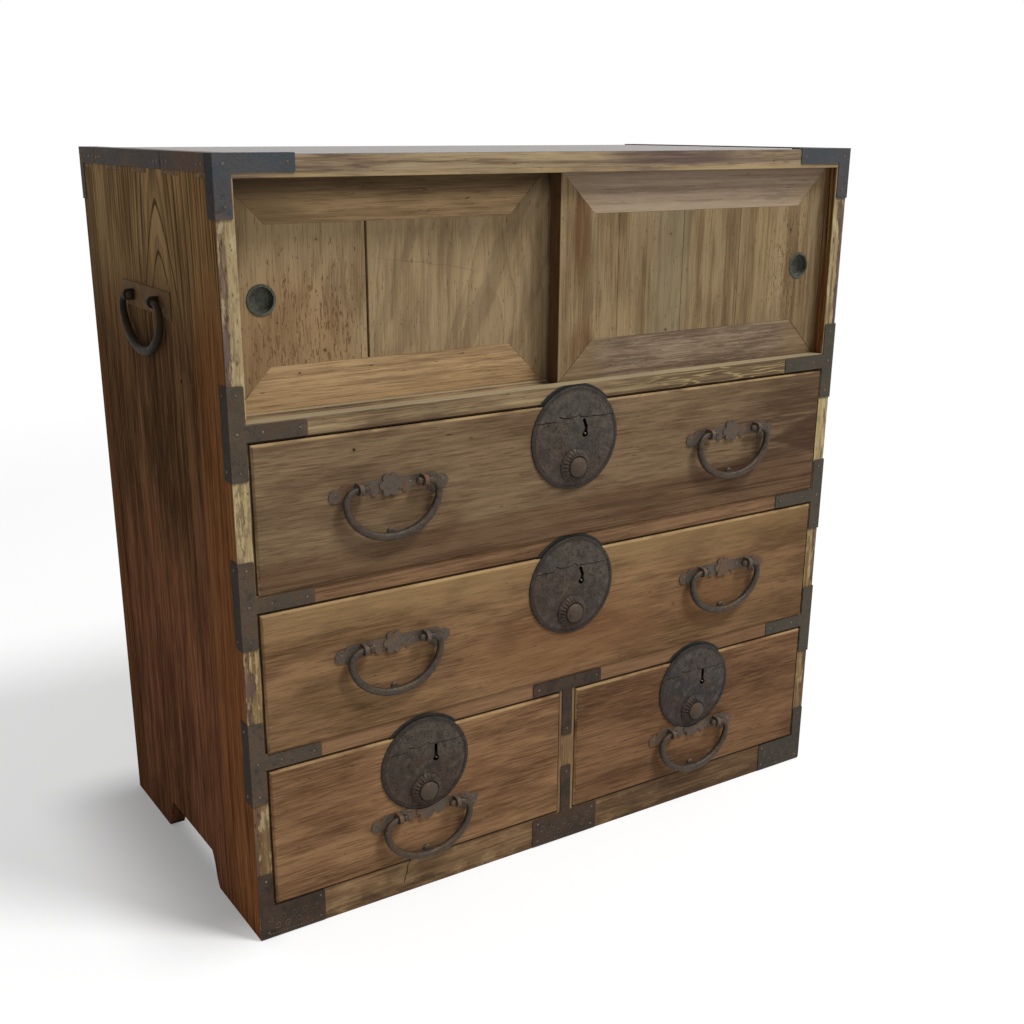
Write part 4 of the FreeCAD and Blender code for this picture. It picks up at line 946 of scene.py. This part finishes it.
for drawer in drawer_looks:
    low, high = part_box(drawer + "_lock")
    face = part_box(drawer + "_front")[0].y
    radius = (high.x - low.x) / 2
    middle = Vector(((low.x + high.x) / 2, face, high.z - radius))

    def lock_marks(finish, colour, fog, rust):
        """The rim is darker, the head greyer and the foot browner, with worn engraving between,
        and a ring of painted shade low down, round the button where it sinks into the collar."""
        a, b = finish.x - middle.x, finish.z - middle.z
        out = away(a, b)
        bent = finish.cloud((a * 70.0 + middle.x, b * 70.0, middle.z), 2.0, 0.5)
        wound = bent * 9.0
        scroll = abs(wound.through("FRACT", wound) - 0.5) * 2
        cut = scroll.step(0.72, 0.92) * fog.step(0.40, 0.52)
        blotch = finish.cloud((a * 95.0 + middle.x, b * 95.0, middle.z), 4.0, 0.6)
        rim = (out + (fog - 0.5) * 0.004).step(radius - 0.0070, radius - 0.0044)
        head = (b + a * 0.4 + (fog - 0.5) * 0.06).step(0.004, 0.024)
        foot = (0.0 - b - a * 0.3 + (fog - 0.5) * 0.06).step(0.006, 0.030)
        # painted shade in the crevice round the button
        low_b = b + 0.035
        ring = away(a, low_b).between(0.0122, 0.0142, 0.0005)
        pocked = finish.cells((a / 0.006, b / 0.006, 0.0))
        pock = (1 - pocked[0].step(0.10, 0.35)) * pocked[1].through("LESS_THAN", pocked[1], 0.3)
        return finish.coats(
            colour,
            (blotch.step(0.52, 0.62) * 0.45, (46, 41, 38)),
            (blotch.step(0.46, 0.37) * 0.40, (104, 94, 82)),
            (head * 0.45, finish.mix(rust.step(0.45, 0.58), (92, 86, 76), (64, 60, 56))),
            (foot * 0.35, (74, 56, 50)),
            (rim * 0.55, (44, 39, 36)),
            (cut * 0.60, (36, 31, 28)),
            (ring * 0.85, (24, 20, 18)),
            (pock * 0.45, (40, 33, 30)))

    lock_iron = iron(drawer + "_lock_iron", lock_looks[drawer], 0.5, 5.0 + middle.x, lock_marks)
    dressed(drawer + "_lock", lock_iron, 0.0003)
    dressed(drawer + "_button", button_iron, 0.0002)

    leaf = bmesh.new()
    columns, rows, reach = 72, 8, radius * 0.955
    sheets = []
    for lift in (0.0, leaf_sheet):
        sheet = []
        for i in range(columns + 1):
            share = leaf_span * (2 * i / columns - 1)
            foot = seam_height(share * reach / radius) * radius
            top = math.sqrt(1 - share * share) * reach
            sheet.append([leaf.verts.new(middle + Vector((
                share * reach, -lock_reach(radius, share * reach, foot + (top - foot) * j / rows) - lift,
                foot + (top - foot) * j / rows))) for j in range(rows + 1)])
        sheets.append(sheet)
    for sheet in sheets:
        for i in range(columns):
            for j in range(rows):
                leaf.faces.new((sheet[i][j], sheet[i + 1][j], sheet[i + 1][j + 1], sheet[i][j + 1]))
    under, over = sheets
    border = [(i, 0) for i in range(columns)] + [(columns, j) for j in range(rows)]
    border += [(i, rows) for i in range(columns, 0, -1)] + [(0, j) for j in range(rows, 0, -1)]
    for (i, j), (k, m) in zip(border, border[1:] + border[:1]):
        leaf.faces.new((under[i][j], under[k][m], over[k][m], over[i][j]))
    put(drawer + "_lock_leaf", leaf, lock_iron, drawer)

    # the strip of painted shadow under the leaf's lower edge
    line = bmesh.new()
    for i in range(columns):
        corners = []
        for k, drop in ((i, 0.0), (i + 1, 0.0), (i + 1, seam_shadow_width), (i, seam_shadow_width)):
            across = leaf_span * (2 * k / columns - 1) * reach
            foot = seam_height(across / radius) * radius - drop
            ahead_of = lock_reach(radius, across, foot) + 0.0001
            corners.append(line.verts.new(middle + Vector((across, -ahead_of, foot))))
        line.faces.new(corners)
    put(drawer + "_lock_seam_shadow", line, painted_seam_shadow, drawer)

    engraved = []
    for degrees, share, size, turns in (
            (205, 0.66, 0.0085, 1.6), (232, 0.70, 0.0075, -1.5), (180, 0.62, 0.0070, -1.4),
            (150, 0.44, 0.0060, 1.3), (-28, 0.68, 0.0080, -1.6), (-52, 0.74, 0.0070, 1.4),
            (0, 0.66, 0.0075, 1.5), (196, 0.30, 0.0065, 1.2), (72, 0.66, 0.0080, 1.5),
            (108, 0.68, 0.0080, -1.5), (262, 0.86, 0.0050, 1.2)):
        a = math.radians(degrees)
        centre = middle + Vector((share * radius * math.cos(a), 0.0, share * radius * math.sin(a)))
        centre.y = 0.0
        on_leaf = leaf_sheet if degrees in (72, 108) else 0.0
        engraved.append((
            centre, 0.0010, size, random.uniform(0, 6.28), turns, lambda x, z, on_leaf=on_leaf:
            lock_reach(radius, x - middle.x, z - middle.z) + on_leaf - face))
    curls(drawer + "_lock_scrolls", engraved, drawer, lock_iron, 0.0005)

    hoop = bmesh.new()
    around, loops = 96, []
    section = ((-0.0042, 0.0), (-0.0040, 0.0004), (-0.0026, 0.00055), (-0.0008, 0.0004), (-0.0003, 0.0))
    for k in range(around):
        a = 2 * math.pi * k / around
        out = Vector((math.cos(a), 0.0, math.sin(a)))
        loops.append([hoop.verts.new(middle + out * (radius + inward) + Vector((
            0.0, -lock_reach(radius, radius + inward, 0.0) - lift, 0.0))) for inward, lift in section])
    skin(hoop, loops + loops[:1], capped=False)
    put(drawer + "_lock_rim", hoop, lock_iron, drawer)

    heads = []
    for degrees, share in ((33, 0.80), (52, 0.52), (152, 0.70), (12, 0.86), (184, 0.80), (205, 0.84),
                           (236, 0.82), (-24, 0.78), (-62, 0.86), (168, 0.45)):
        a = math.radians(degrees)
        across, up = share * radius * math.cos(a), share * radius * math.sin(a)
        lift = lock_reach(radius, across, up) + (leaf_sheet if degrees in (33, 52, 152) else 0.0)
        heads.append((middle + Vector((across, -lift, up)), ahead))
    nails(drawer + "_lock_nails", heads, drawer, 0.0014, 0.0007, lock_iron)

    post = bmesh.new()
    turned(post, middle + Vector((0.0155, 0.0, 0.004)), ahead,
           [(0.0013, -0.004), (0.0013, 0.0012), (0.0011, 0.0018), (0.0006, 0.0022)], 16)
    put(drawer + "_key_post", post, nail_steel, drawer)


# Handles. Forged bails that taper to their ends, hung in eyes on a lobed backplate with a
# flower boss, and a stud below that they strike. The two carrying handles on the side
# panels are stouter and hang on plain plates.

bail_iron = iron("bail_iron", ((74, 68, 61), (82, 70, 58), (62, 48, 38)), 0.42, 3.0, metallic=0.4)


def plate_marks(finish, colour, fog, rust):
    """Orange rust has settled in patches, most of all on the upper drawer's plates."""
    share = 0.25 + finish.z.step(0.44, 0.50) * 0.35
    close = (fog + (rust - 0.5) * 0.4).step(0.50, 0.60)
    return finish.mix(close * share, colour, (118, 78, 50))


plate_iron = iron("plate_iron", ((94, 84, 74), (102, 88, 74), (92, 70, 56)), 0.55, 6.0, plate_marks)
rusty_iron = iron("rusty_iron", ((100, 76, 46), (90, 66, 38), (104, 74, 42)), 0.7, 13.0, metallic=0.0)
side_iron = iron("side_iron", ((48, 45, 36), (56, 46, 33), (42, 32, 22)), 0.5, 12.0,
                 metallic=0.0, shine=0.03)


def bail_path(eye, half_width, drop, thickest):
    """Middle points and half widths, from the knob in one eye, down, and up to the other."""
    pin_end, knob, steps = eye + 0.0028, eye - 0.0073, 22
    ball, pin, shoulder, thinnest, bend = 0.0045, 0.0030, 0.013, 0.0037, 0.2
    half_way = [(knob + ball * math.cos(a), 0.0, max(0.0007, ball * math.sin(a)))
                for a in (math.pi * k / 7 for k in range(7, 1, -1))]
    half_way += [(eye - 0.0026, 0.0, pin), (eye, 0.0, pin), (eye + 0.0022, 0.0, pin)]
    for k in range(steps + 1):
        t = k / steps
        if t < bend:
            a = t / bend * math.pi / 2
            x, z = pin_end + (half_width - pin_end) * math.sin(a), -shoulder * (1 - math.cos(a))
        else:
            a = (t - bend) / (1 - bend) * math.pi / 2
            x, z = half_width * math.cos(a), -shoulder - (drop - shoulder) * math.sin(a)
        half_way.append((x, z, thinnest + (thickest - thinnest) * math.sin(math.pi / 2 * t) ** 1.3))
    return half_way + [(-x, z, width) for x, z, width in reversed(half_way[:-1])]


def forged_bail(name, node, body, pivot, run, outward, eye, half_width, drop, thickest, material):
    """Sweep a rod with softened flats along the bail's line. Run is the way its pivot runs."""
    shape = bmesh.new()
    path = bail_path(eye, half_width, drop, thickest)
    middles = [pivot + run * x + Vector((0.0, 0.0, z)) for x, z, width in path]
    rings, flats = [], 16
    for k, (middle, (x, z, width)) in enumerate(zip(middles, path)):
        ahead_of, behind = middles[min(k + 1, len(middles) - 1)], middles[max(k - 1, 0)]
        across = (ahead_of - behind).normalized().cross(outward)
        ring = []
        for j in range(flats):
            a = 2 * math.pi * (j + 0.5) / flats
            blunt = 1.0 - 0.035 * math.cos(4 * a)
            own = width * blunt * random.uniform(0.985, 1.015)
            ring.append(shape.verts.new(
                middle + across * (own * math.cos(a)) + outward * (own * math.sin(a))))
        rings.append(ring)
    skin(shape, rings)
    piece = put(name, shape, material, body, 1.2)
    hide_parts(node)


handed = {"upper_drawer": ("_left", "_right"), "middle_drawer": ("_left", "_right"),
          "lower_left_drawer": ("",), "lower_right_drawer": ("",)}
joint_at = {joint["child"]: Vector(joint["pos_m"]) for joint in frame["record"]["behaviour"]["joints"]
            if "pos_m" in joint}
for drawer, bails in handed.items():
    dressed(drawer + "_handle_plates", plate_iron, 0.0003)
    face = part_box(drawer + "_front")[0].y
    pins = []
    for side in bails:
        node = drawer + side + "_bail"
        pivot = joint_at[node]
        forged_bail(node + "_forged", node, node, pivot, Vector((1, 0, 0)), Vector((0, 1, 0)),
                    0.041, 0.059, 0.060, 0.0050, bail_iron)
        for across, up in ((-0.068, -0.004), (0.068, -0.004), (-0.026, -0.001), (0.026, -0.001)):
            pins.append((Vector((pivot.x + across, face - 0.0015, pivot.z + up)), ahead))
    nails(drawer + "_handle_nails", pins, drawer, 0.0014, 0.0008)
for side in ("left", "right"):
    node = side + "_side_bail"
    forged_bail(node + "_forged", node, node, joint_at[node], Vector((0, 1, 0)), Vector((1, 0, 0)),
                0.043, 0.066, 0.060, 0.0055, side_iron)
dressed("side_handle_eyes", side_iron, 0.0002)
dressed("side_handle_plates", rusty_iron, 0.0003)


# Floor, lamp and camera. A pale studio floor with a painted contact shadow by the chest's left side, one
# large soft lamp high in front on the right, and even light from all round. The camera stands at the front
# left, just above the top.

def background_rays(finish):
    """1 for what the camera, a shiny piece or a clear piece sees, and 0 for soft light."""
    camera_ray, glossy_ray, clear_ray = (finish.node("ShaderNodeLightPath", out=kind) for kind in (
        "Is Camera Ray", "Is Glossy Ray", "Is Transmission Ray"))
    return camera_ray.most(glossy_ray).most(clear_ray)


ground = bpy.data.meshes.new("floor")
ground.from_pydata([(-12, -12, 0), (12, -12, 0), (12, 12, 0), (-12, 12, 0)], [], [(0, 1, 2, 3)])
floor = bpy.data.objects.new("floor", ground)
bpy.context.scene.collection.objects.link(floor)
paper = Finish("paper")
plain_paper = paper.node("ShaderNodeBsdfDiffuse", sockets={0: (0.74, 0.74, 0.74, 1.0)})
dim_paper = paper.node("ShaderNodeBsdfDiffuse", sockets={0: (0.63, 0.63, 0.63, 1.0)})
# painted contact shadow: the floor glows less close to the chest's left side
painted_contact_shadow = 1 - abs(paper.x + half).step(0.0, 0.17)
painted_contact_shadow = painted_contact_shadow * (0.0 - paper.x).step(half - 0.04, half) * paper.y.between(-0.20, 0.26, 0.06)
open_paper, shaded_paper, far_paper = (
    paper.node("ShaderNodeEmission", sockets={0: (1.0, 1.0, 1.0, 1.0), 1: strength})
    for strength in (0.46, 0.16, 1.0))
white_paper = paper.node("ShaderNodeMixShader", sockets={0: painted_contact_shadow, 1: open_paper, 2: shaded_paper})
near_paper = paper.node("ShaderNodeAddShader", sockets={0: dim_paper, 1: white_paper})
far = away(paper.x, paper.y).step(1.6, 3.0)
shown_paper = paper.node("ShaderNodeMixShader", sockets={0: far, 1: near_paper, 2: far_paper})
both_papers = paper.node("ShaderNodeMixShader", sockets={
    0: background_rays(paper), 1: plain_paper, 2: shown_paper})
paper.node("ShaderNodeOutputMaterial", sockets={"Surface": both_papers})
floor.data.materials.append(paper.material)

studio = Finish("studio", "worlds")
shown = background_rays(studio)
soft_light, white_wall = (studio.node("ShaderNodeBackground", sockets={0: (1.0, 1.0, 1.0, 1.0), 1: strength})
                          for strength in (0.40, 1.0))
backdrop = studio.node("ShaderNodeMixShader", sockets={0: shown, 1: soft_light, 2: white_wall})
studio.node("ShaderNodeOutputWorld", sockets={"Surface": backdrop})
bpy.context.scene.world = studio.material

light = bpy.data.lights.new("key", "AREA")
light.shape, light.size, light.energy = "DISK", 2.1, 455.0
lamp = bpy.data.objects.new("key", light)
bpy.context.scene.collection.objects.link(lamp)
place, aim = Vector((2.66, -3.49, 7.1)), Vector((0.0, 0.0, 0.4))
lamp.location = place
lamp.rotation_euler = (aim - place).to_track_quat("-Z", "Y").to_euler()

camera = bpy.data.objects.new("camera", bpy.data.cameras.new("camera"))
bpy.context.scene.collection.objects.link(camera)
bpy.context.scene.camera = camera
stand = (-0.91119, -1.46214, 0.91644)
yaw, pitch, roll = 0.571428, -0.322886, 0.003665
forward = Vector((math.sin(yaw) * math.cos(pitch), math.cos(yaw) * math.cos(pitch), math.sin(pitch)))
right = Vector((math.cos(yaw), -math.sin(yaw), 0.0))
up = right.cross(forward)
right, up = right * math.cos(roll) + up * math.sin(roll), up * math.cos(roll) - right * math.sin(roll)
turn = Matrix((right, up, -forward)).transposed().to_4x4()
camera.matrix_world = Matrix.Translation(stand) @ turn
camera.data.sensor_width = 36.0
camera.data.lens = 45.21
camera.data.shift_x = 0.0153
camera.data.shift_y = 0.0446

bpy.context.scene.view_settings.view_transform = "Standard"
